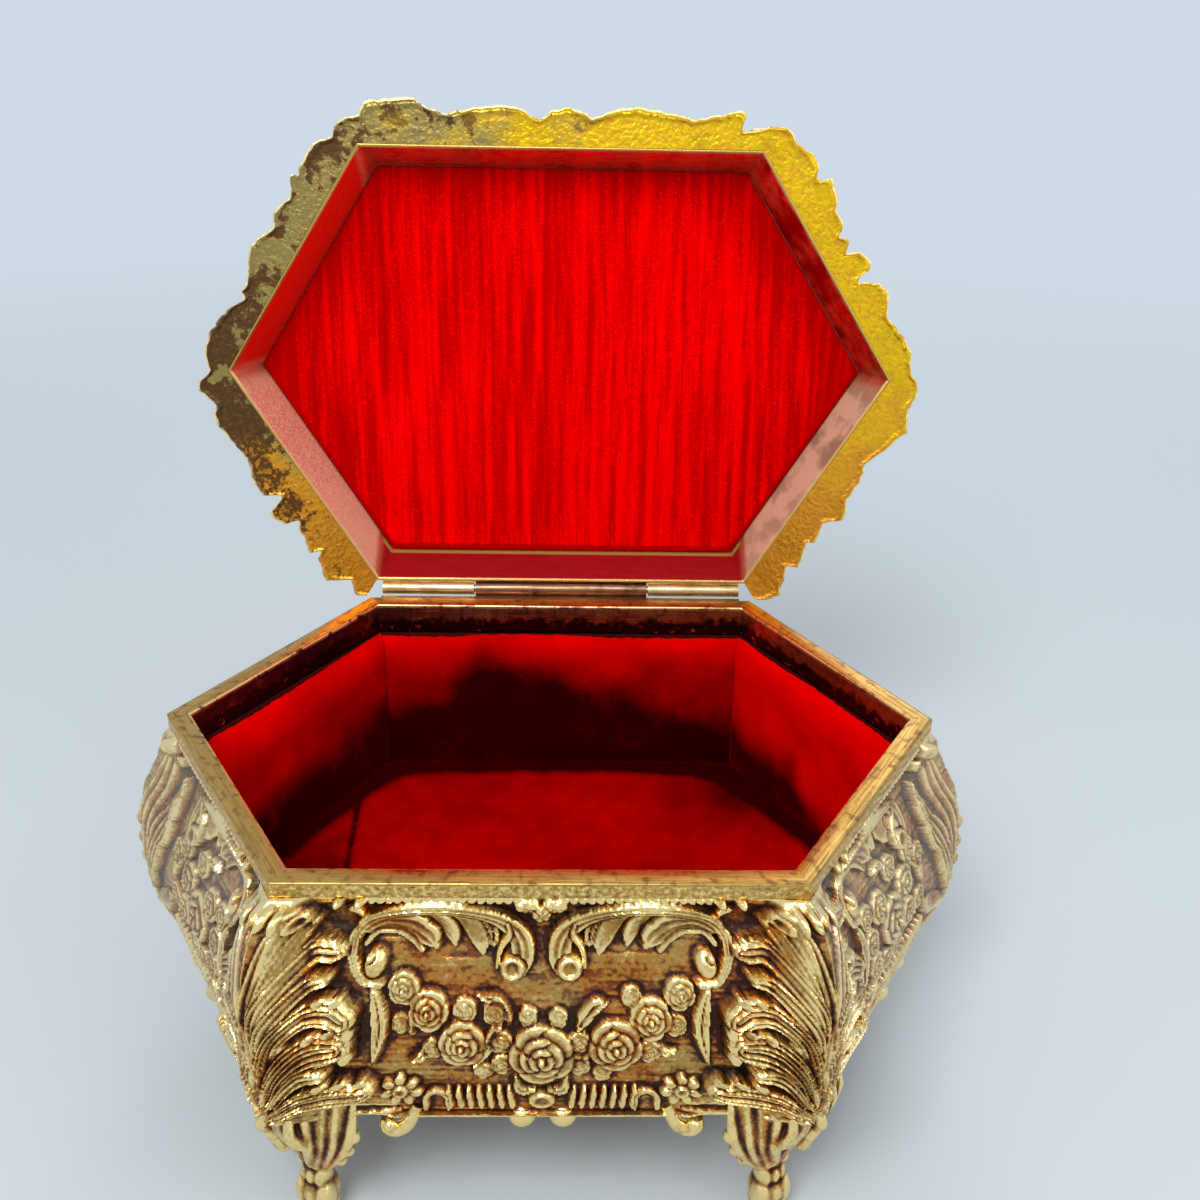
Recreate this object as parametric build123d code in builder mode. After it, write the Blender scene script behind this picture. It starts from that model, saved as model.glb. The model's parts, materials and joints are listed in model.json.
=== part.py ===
from build123d import *
import os
from math import atan2, cos, degrees, hypot, radians, sin

# A six-sided jewelry casket with a hinged lid, shown with the lid standing open.
# Lengths are in millimetres. The box stands on Z = 0, its front faces -Y and its hinge is at +Y.
# The drawing is made around the middle of the body and is moved at the end,
# so that the open casket's box has its bottom centre at the origin.

# Rim of the body, measured over its outer edge
rim_length = 127.0
rim_front = 74.0
rim_depth = 85.0
rim_top = 64.0
rim_strip = 3.3
rim_face = 2.6
skirt_wall = 1.0
skirt_drop = 6.0

# Swelling walls of the body: how far out of the rim they stand, and how far below its top
wall = 1.4
lip_inset = 0.4
neck_inset = 1.6
neck_drop = 7.5
shoulder_out = 0.9
shoulder_drop = 14.0
bulge_out = 3.9
bulge_drop = 25.0
hem_out = 3.3
hem_drop = 41.0

# Carving that stands out of the walls
scroll_height = 0.9
scroll_width = 1.9
rose_height = 1.8
leaf_neck_out = 4.2
ridge_neck_out = 6.8
ridge_drop = 13.0
ridge_width = 3.2
drop_radius = 2.1
small_drop_radius = 1.8

# Lower edge of the walls
apron_drop = 39.6
arch_drop = 37.0
arch_start = 8.0
arch_end = 17.5

# Bottom plate and lining
base_thickness = 0.8
base_drop = 36.6
seat_rise = 1.0
board = 0.6
lining_gap = 0.1
lining_thickness = 0.9
lining_crown = 0.7
floor_pad_thickness = 0.7
floor_pad_crown = 0.5
crease_width = 0.8
crease_depth = 0.4
crease_x = 37.0

# Feet under the two front and the two back corners
toe_radius = 3.5
toe_height = 5.2
sole_radius = 2.2
ankle_radius = 2.4
ankle_height = 10.0
wing_reach = 8.5
wing_thickness = 3.0
wing_drop = 11.0
foot_inset = 0.9
foot_shift = 2.1
foot_block = 8.0

# Hinge
hinge_behind = 3.0
hinge_above = 0.6
barrel_radius = 1.3
pin_radius = 0.7
pin_clearance = 0.05
knuckle_half = 16.8
knuckle_gap = 0.3
barrel_half = 35.0
leaf = 0.8
lid_leaf_height = 4.5

# Lid: it stands open by this angle from closed, and its hollow is a smaller hexagon
open_angle = 96.7
rest_gap = 0.3
hollow_length = 122.4
hollow_front = 71.6
hollow_depth = 80.6
hollow_lip = 0.7
hollow_slope = 3.2
hollow_sink = 7.0
panel_seat = 1.6
frame_wall = 0.8
frame_lip_height = 3.5
velvet_thickness = 0.8
velvet_crown = 0.5
flange_thickness = 1.5
lid_wall = 1.5
dome_overhang = 2.1
dome_side = 5.0
shoulder_radius = 8.0
crown_angle = 10.0
medallion_length = 30.0
medallion_width = 20.0
medallion_height = 1.1

# Carving of the dome
dome_scroll_height = 1.3
dome_scroll_width = 2.1
dome_leaf_height = 1.9
dome_leaf_half = 4.2
corner_leaf_length = 15.0
end_leaf_length = 23.0
shell_half = 5.2
shell_depth = 3.2
centre_rose_radius = 4.8
centre_rose_height = 2.9
side_rose_radius = 3.1
side_rose_height = 2.3
side_rose_place = 8.2
end_rose_place = 26.2
crest_place = 17.2
crest_half = 3.2
hinge_side_clearance = 0.1


def hexagon(front, length, depth, grow=0.0, middle=0.0):
    """Corners of the plan, anticlockwise from the front left, grown square to every side."""
    run = (length - front) / 2
    rise = depth / 2
    slant = hypot(run, rise)
    half_front = front / 2 + grow * (1 - run / slant) / (rise / slant)
    half_length = length / 2 + grow / (rise / slant)
    half_depth = depth / 2 + grow
    return [
        (-half_front, middle - half_depth),
        (half_front, middle - half_depth),
        (half_length, middle),
        (half_front, middle + half_depth),
        (-half_front, middle + half_depth),
        (-half_length, middle),
    ]


def rim_hexagon(grow=0.0):
    return hexagon(rim_front, rim_length, rim_depth, grow)


hinge_y = rim_depth / 2 + hinge_behind
hinge_z = rim_top + hinge_above
lean = radians(open_angle - 90)
body_frame = Plane.XY
lid_frame_plane = Plane(
    origin=(0, hinge_y, hinge_z),
    x_dir=(1, 0, 0),
    z_dir=(0, -cos(lean), sin(lean)),
)

# In the lid's own plane x runs along the hinge, y from the hinge to the free edge,
# and z out of the hollow. The hollow's near edge stands clear of the barrel.
hollow_start = barrel_radius + rest_gap + hollow_lip
hollow_middle = hollow_start + hollow_depth / 2
face_level = hinge_above - rest_gap


def hollow_hexagon(grow=0.0):
    return hexagon(hollow_front, hollow_length, hollow_depth, grow, hollow_middle)


def dome_hexagon(grow=0.0):
    """The dome's foot: flush with the hinge side of the hollow, wider on the others."""
    depth = hollow_depth + hollow_lip + dome_overhang
    middle = hollow_start - hollow_lip + depth / 2
    front = hollow_front + dome_overhang
    length = hollow_length + 2 * dome_overhang
    return hexagon(front, length, depth, grow, middle)


def to_world(frame, x, y, z=0.0):
    return frame.from_local_coords(Vector(x, y, z))


def heading(frame, x, y, z=0.0):
    return to_world(frame, x, y, z) - frame.origin


def side_of(corners, index):
    """Ends, middle, outward heading and length of one side of a plan."""
    start = Vector(*corners[index])
    end = Vector(*corners[(index + 1) % 6])
    along = (end - start).normalized()
    outward = Vector(along.Y, -along.X)
    return start, end, (start + end) * 0.5, outward, (end - start).length


def section_plane(frame, corners, index):
    """Plane across one side: x points outwards and y along the frame's z."""
    start, end, middle, outward, length = side_of(corners, index)
    out = heading(frame, outward.X, outward.Y)
    return Plane(
        origin=to_world(frame, middle.X, middle.Y),
        x_dir=out,
        z_dir=out.cross(heading(frame, 0, 0, 1)),
    )


def face_plane(frame, corners, index, out_by=0.0):
    """Plane on one side, seen from outside: x runs along it to the right and y up."""
    start, end, middle, outward, length = side_of(corners, index)
    out = heading(frame, outward.X, outward.Y)
    return Plane(
        origin=to_world(frame, middle.X, middle.Y) + out * out_by,
        x_dir=heading(frame, 0, 0, 1).cross(out),
        z_dir=out,
    )


def cut_mitres(frame, corners, grown, index):
    """Trim the part being built at both corners of its side, along the bisectors."""
    start, end, middle, outward, length = side_of(corners, index)
    for corner, far, sign in ((index, start, -1), ((index + 1) % 6, end, 1)):
        spread = Vector(*grown[corner]) - Vector(*corners[corner])
        across = Vector(spread.Y, -spread.X).normalized()
        if across.dot(end - start) * sign < 0:
            across = across * -1
        split(
            bisect_by=Plane(
                origin=to_world(frame, far.X, far.Y),
                z_dir=heading(frame, across.X, across.Y),
            ),
            keep=Keep.BOTTOM,
        )


def mitred_bar(frame, corners, grown, index, outline):
    """One side's bar: an outline drawn across it, run past both corners and mitred."""
    reach = side_of(corners, index)[4]
    with BuildPart() as bar:
        with BuildSketch(section_plane(frame, corners, index)):
            outline()
        extrude(amount=reach, both=True)
        cut_mitres(frame, corners, grown, index)
    return bar


def plate(frame, corners, low, high):
    """A flat plate with the plan's outline between two levels."""
    with BuildPart() as flat:
        with BuildSketch(frame.offset(low)):
            with BuildLine():
                Polyline(*corners, close=True)
            make_face()
        extrude(amount=high - low)
    return flat


# Profiles across the body's walls, as distance out of the rim and height
hem_level = rim_top - hem_drop
top_level = rim_top - rim_face
skirt_level = rim_top - skirt_drop
base_top = rim_top - base_drop + base_thickness
neck_level = rim_top - neck_drop
skirt_face = -rim_strip + skirt_wall
base_reach = hem_out - wall


def wall_points(out_by=0.0):
    return [
        (-lip_inset + out_by, top_level),
        (-neck_inset + out_by, neck_level),
        (shoulder_out + out_by, rim_top - shoulder_drop),
        (bulge_out + out_by, rim_top - bulge_drop),
        (hem_out + out_by, hem_level),
    ]


def inner_points():
    neck = min(-neck_inset - wall, skirt_face)
    return [
        (neck, skirt_level - wall),
        (shoulder_out - wall, rim_top - shoulder_drop),
        (bulge_out - wall, rim_top - bulge_drop),
        (base_reach, base_top + seat_rise),
    ]


def leaf_points():
    """The corner leaves stand out most at the neck and lie down towards the hem."""
    return [
        (lip_inset, top_level),
        (leaf_neck_out, rim_top - ridge_drop),
        (bulge_out + scroll_height + 0.4 * rose_height, rim_top - bulge_drop),
        (hem_out + scroll_height, hem_level),
    ]


def ridge_points():
    return [
        (lip_inset + scroll_height, top_level),
        (0.75 * ridge_neck_out, neck_level),
        (ridge_neck_out, rim_top - ridge_drop),
        (bulge_out + rose_height, rim_top - bulge_drop),
        (hem_out + 1.4 * scroll_height, hem_level),
    ]


def wall_outline(outer):
    """Section of a wall from its inside, against the rim's skirt, out to the given curve."""

    def draw():
        inner = inner_points()
        with BuildLine() as edge:
            Polyline((skirt_face, skirt_level), (skirt_face, top_level), outer[0])
            Spline(*outer)
            Polyline(outer[-1], (base_reach, hem_level), inner[-1])
            Spline(*reversed(inner))
            Line(inner[0], (skirt_face, skirt_level))
        make_face(edge.edges())

    return draw


def layer_outline(outer):
    """Section of a layer of carving, rooted in the middle of the wall's thickness."""

    def draw():
        inner = wall_points(-wall / 2)
        with BuildLine() as edge:
            Line(inner[0], outer[0])
            Spline(*outer)
            Line(outer[-1], inner[-1])
            Spline(*reversed(inner))
        make_face(edge.edges())

    return draw


def leaf_outline(u, drop, length, width, turn):
    """A pointed leaf on a wall's face."""
    tip = length / 2
    with Locations((u, rim_top - drop)):
        with Locations(Rotation(0, 0, turn)):
            with BuildLine(mode=Mode.PRIVATE) as edge:
                ThreePointArc((-tip, 0), (0, width / 2), (tip, 0))
                ThreePointArc((-tip, 0), (0, -width / 2), (tip, 0))
            add(make_face(edge.edges(), mode=Mode.PRIVATE))


def spots(places):
    """Round bosses at places given as (along, below the rim, radius)."""
    for u, drop, radius in places:
        with Locations((u, rim_top - drop)):
            Circle(radius)


def band(points, width):
    """A scroll: a band of even width along a smooth curve."""
    with BuildLine() as curve:
        Spline(*[(u, rim_top - drop) for u, drop in points])
    trace(curve.line, line_width=width)


# Layout of the carving. Lengths along a side are from its middle, and drops are below the rim.
half_front = rim_front / 2
front_arch = [(-24.5, 17), (-26.8, 11), (-23, 5.6), (-15, 4), (-7, 5), (-3, 9), (-4, 14.5)]
front_flowers = [
    (0, 26.5, 4.5), (-12, 24.5, 3.6), (-16.5, 20, 2.6), (-20.5, 17, 2.0), (-11, 19.5, 1.8),
    (9.5, 25, 4.0), (14.5, 20, 3.0), (18.5, 17, 2.2), (-20, 33.5, 2.8), (20, 33.5, 2.8),
]
side_arch = [(-15, 17), (-16.5, 11), (-13, 6.2), (-6, 4.6), (2, 5), (8, 8), (9, 14)]
side_flowers = [
    (-3, 24, 4.4), (-11, 21, 3.2), (5, 21, 3.4), (11, 17, 2.6), (-14, 29, 2.6), (9, 29, 3.2),
    (0, 32.5, 2.6), (15, 24, 2.4),
]


def front_scrolls():
    for mirror in (-1, 1):
        band([(-mirror * u, drop) for u, drop in front_arch], scroll_width)
        spots([(mirror * 23.6, 13, 2.4), (mirror * 5, 12, 2.0)])
        leaf_outline(mirror * 24.3, 23, 12, 3.2, 90 + mirror * 8)
        leaf_outline(mirror * 17, 8.5, 10, 4.0, 160 if mirror > 0 else 20)
        spots([(mirror * 28.5, 4.6, 1.6), (mirror * 10, 35.4, 2.0), (mirror * 15, 35.2, 1.8)])
        leaf_outline(mirror * 6.5, 20.5, 8, 3.0, 90 - mirror * 30)
    spots([(0, 5.2, 2.0), (0, 34.8, 2.6), (-5, 35.2, 2.0), (5, 35.2, 2.0)])


def side_scrolls(turn):
    band([(turn * u, drop) for u, drop in side_arch], scroll_width)
    spots([(turn * -13.4, 12.8, 2.2), (turn * 6.8, 12.2, 1.8)])
    leaf_outline(turn * -15.2, 24, 11, 3.0, 90)
    leaf_outline(turn * -2, 12.5, 11, 4.4, 10)
    spots([(turn * 19.5, 6, 2.2), (turn * 20.5, 12, 2.2), (turn * 21.5, 18.5, 2.4)])
    spots([(turn * 22.5, 25.5, 2.6), (turn * 23, 33, 2.8)])
    spots([(turn * u, 35.6, 1.9) for u in (-9, -4.5, 4.5, 13.5)])


def corner_leaf(half_side, turn):
    """Outline of the leaves that fan out from a footed corner, past the mitre."""
    beyond = half_side + 2 * ridge_neck_out
    inward = [
        (beyond, hem_drop), (half_side - 4, hem_drop), (half_side - 8, 35.5),
        (half_side - 11, 31), (half_side - 6.5, 27), (half_side - 6, 23.5),
        (half_side - 11, 19), (half_side - 6, 16), (half_side - 4, 13),
        (half_side - 8, 8), (half_side - 5, 4), (half_side - 2, rim_face), (beyond, rim_face),
    ]
    with BuildLine() as edge:
        Polyline(*[(turn * u, rim_top - drop) for u, drop in inward], close=True)
    make_face(edge.edges())


def corner_ridge(half_side, turn):
    centre = half_side - ridge_width + 2 * ridge_neck_out
    with Locations((turn * centre, (top_level + hem_level) / 2)):
        Rectangle(4 * ridge_neck_out, top_level - hem_level)


def raised_layer(frame, corners, grown, index, outer, outlines):
    """Carving of one height: the wall thickened to a curve, kept inside drawn outlines."""
    layer = mitred_bar(frame, corners, grown, index, layer_outline(outer))
    depth = 6 * ridge_neck_out
    with BuildPart() as carved:
        add(layer.part)
        with BuildSketch(face_plane(frame, corners, index, -depth / 2)):
            outlines()
        extrude(amount=depth, mode=Mode.INTERSECT)
    return carved.part


def cast_wall(index, scrolls, flowers, footed, drops):
    """One of the six cast walls. Footed gives the ends that stand over a foot."""
    corners = rim_hexagon()
    grown = rim_hexagon(1.0)
    half_side = side_of(corners, index)[4] / 2
    ground = mitred_bar(body_frame, corners, grown, index, wall_outline(wall_points()))
    layers = [
        raised_layer(body_frame, corners, grown, index, wall_points(scroll_height), scrolls),
        raised_layer(
            body_frame, corners, grown, index, wall_points(rose_height), lambda: spots(flowers)
        ),
    ]
    for turn in footed:
        layers.append(
            raised_layer(
                body_frame, corners, grown, index, leaf_points(),
                lambda: corner_leaf(half_side, turn),
            )
        )
        layers.append(
            raised_layer(
                body_frame, corners, grown, index, ridge_points(),
                lambda: corner_ridge(half_side, turn),
            )
        )
    balls = [ball_drop(corners, index, u, radius) for u, radius in drops]
    with BuildPart() as cast:
        add(ground.part)
        for layer in layers:
            add(layer)
        with BuildSketch(face_plane(body_frame, corners, index, -3 * ridge_neck_out)):
            lower_edge(half_side, footed)
        extrude(amount=6 * ridge_neck_out, mode=Mode.SUBTRACT)
        for ball in balls:
            add(ball)
    return cast


def ball_drop(corners, index, u, radius):
    """A ball under the hem, very slightly flattened at its top and bottom."""
    seat = face_plane(body_frame, corners, index, hem_out - wall / 2)
    centre = to_world(seat, u, rim_top - apron_drop)
    inward = seat.z_dir * -1
    with BuildPart() as ball:
        with BuildSketch(Plane(origin=centre, x_dir=inward, z_dir=inward.cross(Vector(0, 0, 1)))):
            Circle(radius)
            Rectangle(
                radius, 1.9 * radius, align=(Align.MIN, Align.CENTER), mode=Mode.INTERSECT
            )
        revolve(axis=Axis(centre, (0, 0, 1)))
    return ball.part


def lower_edge(half_side, footed):
    """What is cut away under a wall: straight in the middle, arched beside each foot."""
    low = hem_level - hem_drop
    apron = rim_top - apron_drop
    arch = rim_top - arch_drop
    ends = {turn: half_side - arch_end if turn in footed else half_side * 2 for turn in (-1, 1)}
    with BuildLine() as edge:
        Polyline((-ends[-1], apron), (-ends[-1], low), (ends[1], low), (ends[1], apron))
        Line((ends[1], apron), (-ends[-1], apron))
    make_face(edge.edges())
    for turn in footed:
        near = turn * (half_side - arch_end)
        far = turn * (half_side - arch_start)
        with BuildLine() as edge:
            Polyline((near, apron), (near, low), (far, low), (far, hem_level))
            ThreePointArc((far, hem_level), ((near + far) / 2, arch), (near, apron))
        make_face(edge.edges())


front_drops = [(-21.5, small_drop_radius), (-3, drop_radius), (3, drop_radius)]
front_drops = front_drops + [(21.5, small_drop_radius)]
side_drops = [(-6, small_drop_radius), (2.5, drop_radius), (11, small_drop_radius)]

panel_front = cast_wall(0, front_scrolls, front_flowers, (-1, 1), front_drops)
panel_right_front = cast_wall(
    1, lambda: side_scrolls(1), side_flowers, (-1,), side_drops
)
with BuildPart() as panel_back:
    mirror(panel_front.part, about=Plane.XZ)
with BuildPart() as panel_left_front:
    mirror(panel_right_front.part, about=Plane.YZ)
with BuildPart() as panel_right_back:
    mirror(panel_right_front.part, about=Plane.XZ)
with BuildPart() as panel_left_back:
    mirror(panel_right_back.part, about=Plane.YZ)

# Rim: a flat strip with a skirt inside the walls
with BuildPart() as rim_frame:
    with BuildSketch(Plane.XY.offset(top_level)):
        with BuildLine():
            Polyline(*rim_hexagon(), close=True)
        make_face()
    extrude(amount=rim_face)
    with BuildSketch(Plane.XY.offset(skirt_level)):
        with BuildLine():
            Polyline(*rim_hexagon(skirt_face), close=True)
        make_face()
    extrude(amount=skirt_drop - rim_face)
    with BuildSketch(Plane.XY.offset(skirt_level)):
        with BuildLine():
            Polyline(*rim_hexagon(-rim_strip), close=True)
        make_face()
    extrude(amount=skirt_drop, mode=Mode.SUBTRACT)

# Bottom plate, let in between the upright insides of the walls' hems
base_plate = plate(
    body_frame, rim_hexagon(base_reach), base_top - base_thickness, base_top
)


def foot(index):
    """A foot on the right: a block behind the walls, two scrolled wings and a turned toe."""
    corners = rim_hexagon(-foot_inset)
    corner = Vector(corners[index][0] - foot_shift, corners[index][1])
    block_high = base_top - base_thickness
    inner = rim_hexagon(base_reach)
    with BuildPart() as leg:
        with BuildSketch(Plane.XY.offset(hem_level)):
            with BuildLine():
                Polyline(*inner, close=True)
            make_face()
            with Locations((corner.X, corner.Y)):
                Circle(foot_block, mode=Mode.INTERSECT)
        extrude(amount=block_high - hem_level)
        with BuildSketch(Plane(origin=(corner.X, corner.Y, 0), x_dir=(1, 0, 0), z_dir=(0, -1, 0))):
            with BuildLine():
                Polyline((0, hem_level), (0, 0), (sole_radius, 0))
                Spline(
                    (sole_radius, 0), (toe_radius, toe_height), (ankle_radius, ankle_height),
                    (1.5 * ankle_radius, hem_level - 0.5 * ankle_height),
                    (1.9 * ankle_radius, hem_level),
                )
                Line((1.9 * ankle_radius, hem_level), (0, hem_level))
            make_face()
        revolve(axis=Axis((corner.X, corner.Y, 0), (0, 0, 1)))
    rim = rim_hexagon()
    grown = rim_hexagon(1.0)
    for side, end in (((index - 1) % 6, 1), (index, -1)):
        half_side = side_of(rim, side)[4] / 2
        with BuildPart() as wing:
            add(wing_bar(rim, grown, side).part)
            with BuildSketch(face_plane(body_frame, rim, side, -3 * wing_thickness)):
                wing_outline(half_side, end)
            extrude(amount=6 * wing_thickness, mode=Mode.INTERSECT)
        with BuildPart() as joined:
            add(leg.part)
            add(wing.part)
        leg = joined
    return leg


def wing_bar(rim, grown, side):
    outer = hem_out + scroll_height
    low = hem_level - wing_drop

    def draw():
        with BuildLine() as edge:
            Polyline(
                (outer, hem_level), (outer - wing_thickness, hem_level),
                (-foot_inset - wing_thickness / 2, low), (wing_thickness / 2, low), close=True,
            )
        make_face(edge.edges())

    return mitred_bar(body_frame, rim, grown, side, draw)


def wing_outline(half_side, end):
    """A wing seen from outside: wide under the wall and curling in towards the ankle."""
    corner = half_side + 2 * hem_out
    tip = half_side - wing_reach
    low = hem_level - wing_drop
    with BuildLine() as edge:
        Polyline((end * tip, hem_level), (end * corner, hem_level), (end * corner, low))
        Line((end * corner, low), (end * (half_side - 3), low))
        ThreePointArc(
            (end * (half_side - 3), low),
            (end * (half_side - 0.55 * wing_reach), hem_level - 0.65 * wing_drop),
            (end * (tip + 1.6), hem_level - 0.42 * wing_drop),
        )
        ThreePointArc(
            (end * (tip + 1.6), hem_level - 0.42 * wing_drop),
            (end * (tip - 0.6), hem_level - 0.2 * wing_drop),
            (end * tip, hem_level),
        )
    make_face(edge.edges())


foot_front_right = foot(1)
with BuildPart() as foot_front_left:
    mirror(foot_front_right.part, about=Plane.YZ)
with BuildPart() as foot_back_right:
    mirror(foot_front_right.part, about=Plane.XZ)
with BuildPart() as foot_back_left:
    mirror(foot_back_right.part, about=Plane.YZ)

# Lining: stiff boards stand inside the walls, each with a padded velvet face
board_back = inner_points()[0][0] - lining_gap
board_face = board_back - board
lining_face = board_face - lining_thickness
lining_top = skirt_level - lining_gap


def board_outline():
    with BuildLine() as edge:
        Polyline(
            (board_back, base_top), (board_back, lining_top),
            (board_face, lining_top), (board_face, base_top), close=True,
        )
    make_face(edge.edges())


def lining_outline():
    """Padded face of a wall: crowned inwards, with a rolled top edge."""
    roll = 0.6 * lining_thickness
    middle = (base_top + lining_top) / 2
    with BuildLine() as edge:
        Line((board_face, base_top), (board_face, lining_top))
        ThreePointArc(
            (board_face, lining_top),
            (lining_face + 0.2 * roll, lining_top - 0.3 * roll),
            (lining_face, lining_top - roll),
        )
        ThreePointArc(
            (lining_face, lining_top - roll),
            (lining_face - lining_crown, middle),
            (lining_face, base_top),
        )
        Line((lining_face, base_top), (board_face, base_top))
    make_face(edge.edges())


side_names = ["front", "right_front", "right_back", "back", "left_back", "left_front"]
wall_boards = {}
linings = {}
rim_now = rim_hexagon()
rim_grown = rim_hexagon(1.0)
for side_index, side_name in enumerate(side_names):
    wall_boards[side_name] = mitred_bar(
        body_frame, rim_now, rim_grown, side_index, board_outline
    )
    linings[side_name] = mitred_bar(body_frame, rim_now, rim_grown, side_index, lining_outline)


def crowned_pad(frame, corners, grown, depth, low, thickness, crown):
    """A padded panel: its edge is drawn in, and it rises in one swell to the middle."""
    roll = 0.6 * thickness

    def draw():
        top = low + thickness
        with BuildLine() as edge:
            Polyline((-depth / 2, low), (-0.3 * roll, low), (0, low + 0.4 * thickness))
            ThreePointArc((0, low + 0.4 * thickness), (-0.3 * roll, top - 0.3 * roll), (-roll, top))
            Spline(
                (-roll, top), (-0.3 * depth, top + 0.9 * crown), (-depth / 2, top + crown),
                tangents=((-1, 0.12), (-1, 0)),
            )
            Line((-depth / 2, top + crown), (-depth / 2, low))
        make_face(edge.edges())

    gores = [mitred_bar(frame, corners, grown, side, draw).part for side in range(6)]
    with BuildPart() as pad:
        for gore in gores:
            add(gore)
    return pad


floor_reach = lining_face - 0.3 * lining_crown
floor_corners = rim_hexagon(floor_reach)
floor_board = plate(body_frame, floor_corners, base_top, base_top + board)
floor_top = base_top + board + floor_pad_thickness
floor_blank = crowned_pad(
    body_frame, floor_corners, rim_hexagon(floor_reach + 1.0), rim_depth + 2 * floor_reach,
    base_top + board, floor_pad_thickness, floor_pad_crown,
)

# The velvet of the floor has one worn crease from back to front on its left
with BuildPart() as floor_pad:
    add(floor_blank.part)
    with BuildSketch(Plane.XZ.offset(-rim_depth)):
        with BuildLine():
            Polyline(
                (-crease_x - crease_width / 2, floor_top + 2 * floor_pad_crown),
                (-crease_x, floor_top - crease_depth),
                (-crease_x + crease_width / 2, floor_top + 2 * floor_pad_crown),
                close=True,
            )
        make_face()
    extrude(amount=2 * rim_depth, mode=Mode.SUBTRACT)

# Body half of the hinge: a strip soldered to the back of the rim, with the middle knuckle
with BuildPart() as hinge_leaf_body:
    with BuildSketch(Plane.XY.offset(top_level)):
        with Locations((0, rim_depth / 2 + leaf / 2)):
            Rectangle(2 * barrel_half, leaf)
    extrude(amount=rim_face - 0.1)
    with BuildSketch(Plane.XY.offset(hinge_z - barrel_radius)):
        with Locations((0, (rim_depth / 2 + hinge_y) / 2)):
            Rectangle(2 * knuckle_half, hinge_behind)
    extrude(amount=rim_top - 0.1 - (hinge_z - barrel_radius))
    with BuildSketch(Plane.YZ.offset(-knuckle_half)):
        with Locations((hinge_y, hinge_z)):
            Circle(barrel_radius)
    extrude(amount=2 * knuckle_half)
    with BuildSketch(Plane.YZ.offset(-barrel_half)):
        with Locations((hinge_y, hinge_z)):
            Circle(pin_radius)
    extrude(amount=2 * barrel_half, mode=Mode.SUBTRACT)

# Lid half of the hinge: a strip against the lid's back edge, with the two outer knuckles
knuckle_start = knuckle_half + knuckle_gap
tab_width = barrel_half - knuckle_start
strip_near = barrel_radius + rest_gap - leaf
with BuildPart() as hinge_leaf_lid:
    with BuildSketch(lid_frame_plane.offset(-lid_leaf_height)):
        with Locations((0, strip_near + leaf / 2)):
            Rectangle(2 * barrel_half, leaf)
    extrude(amount=lid_leaf_height - barrel_radius - knuckle_gap)
    for mirror in (-1, 1):
        middle = mirror * (knuckle_start + tab_width / 2)
        with BuildSketch(lid_frame_plane.offset(-barrel_radius - knuckle_gap)):
            with Locations((middle, strip_near + leaf / 2)):
                Rectangle(tab_width, leaf)
        extrude(amount=barrel_radius + knuckle_gap)
        start = mirror * knuckle_start
        with BuildSketch(Plane.YZ.offset(min(start, mirror * barrel_half))):
            with Locations((hinge_y, hinge_z)):
                Circle(barrel_radius)
        extrude(amount=tab_width)
    with BuildSketch(Plane.YZ.offset(-barrel_half)):
        with Locations((hinge_y, hinge_z)):
            Circle(pin_radius + pin_clearance)
    extrude(amount=2 * barrel_half, mode=Mode.SUBTRACT)

with BuildPart() as hinge_pin:
    with BuildSketch(Plane.YZ.offset(-barrel_half)):
        with Locations((hinge_y, hinge_z)):
            Circle(pin_radius)
    extrude(amount=2 * barrel_half)

# Frame of the lid's hollow: a lip, a sloping wall and a seat for the velvet panel
hollow_floor = face_level - hollow_sink
hollow_back = hollow_floor - panel_seat


def lid_frame_outline():
    lip_low = face_level - frame_lip_height
    slope_back = hollow_slope * frame_lip_height / hollow_sink
    with BuildLine() as edge:
        Polyline(
            (hollow_lip, face_level), (0, face_level), (-hollow_slope, hollow_floor),
            (-hollow_slope, hollow_back), (frame_wall - hollow_slope, hollow_back),
            (frame_wall - hollow_slope, hollow_floor), (frame_wall - slope_back, lip_low),
            (hollow_lip, lip_low), close=True,
        )
    make_face(edge.edges())


hollow_now = hollow_hexagon()
hollow_grown = hollow_hexagon(1.0)
frame_bars = [
    mitred_bar(lid_frame_plane, hollow_now, hollow_grown, side, lid_frame_outline).part
    for side in range(6)
]
with BuildPart() as lid_frame:
    for frame_bar in frame_bars:
        add(frame_bar)

panel_corners = hollow_hexagon(-hollow_slope)
lid_board = plate(lid_frame_plane, panel_corners, hollow_back, hollow_floor - velvet_thickness)
velvet_reach = -hollow_slope - lining_gap
lid_velvet = crowned_pad(
    lid_frame_plane, hollow_hexagon(velvet_reach), hollow_hexagon(velvet_reach + 1.0),
    hollow_depth + 2 * velvet_reach, hollow_floor - velvet_thickness, velvet_thickness,
    velvet_crown,
)

# Lid casting: a domed shell of six gores over a scalloped flange
dome_now = dome_hexagon()
dome_grown = dome_hexagon(1.0)
dome_half = (dome_now[3][1] - dome_now[0][1]) / 2
dome_middle = (dome_now[3][1] + dome_now[0][1]) / 2

rise = radians(crown_angle)
crown_radius = (dome_half - shoulder_radius * (1 - sin(rise))) / sin(rise)
crown_centre = (crown_radius - shoulder_radius) * cos(rise) - dome_side
dome_top = crown_centre - crown_radius
dome_below = dome_top - 2 * medallion_height


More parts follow.
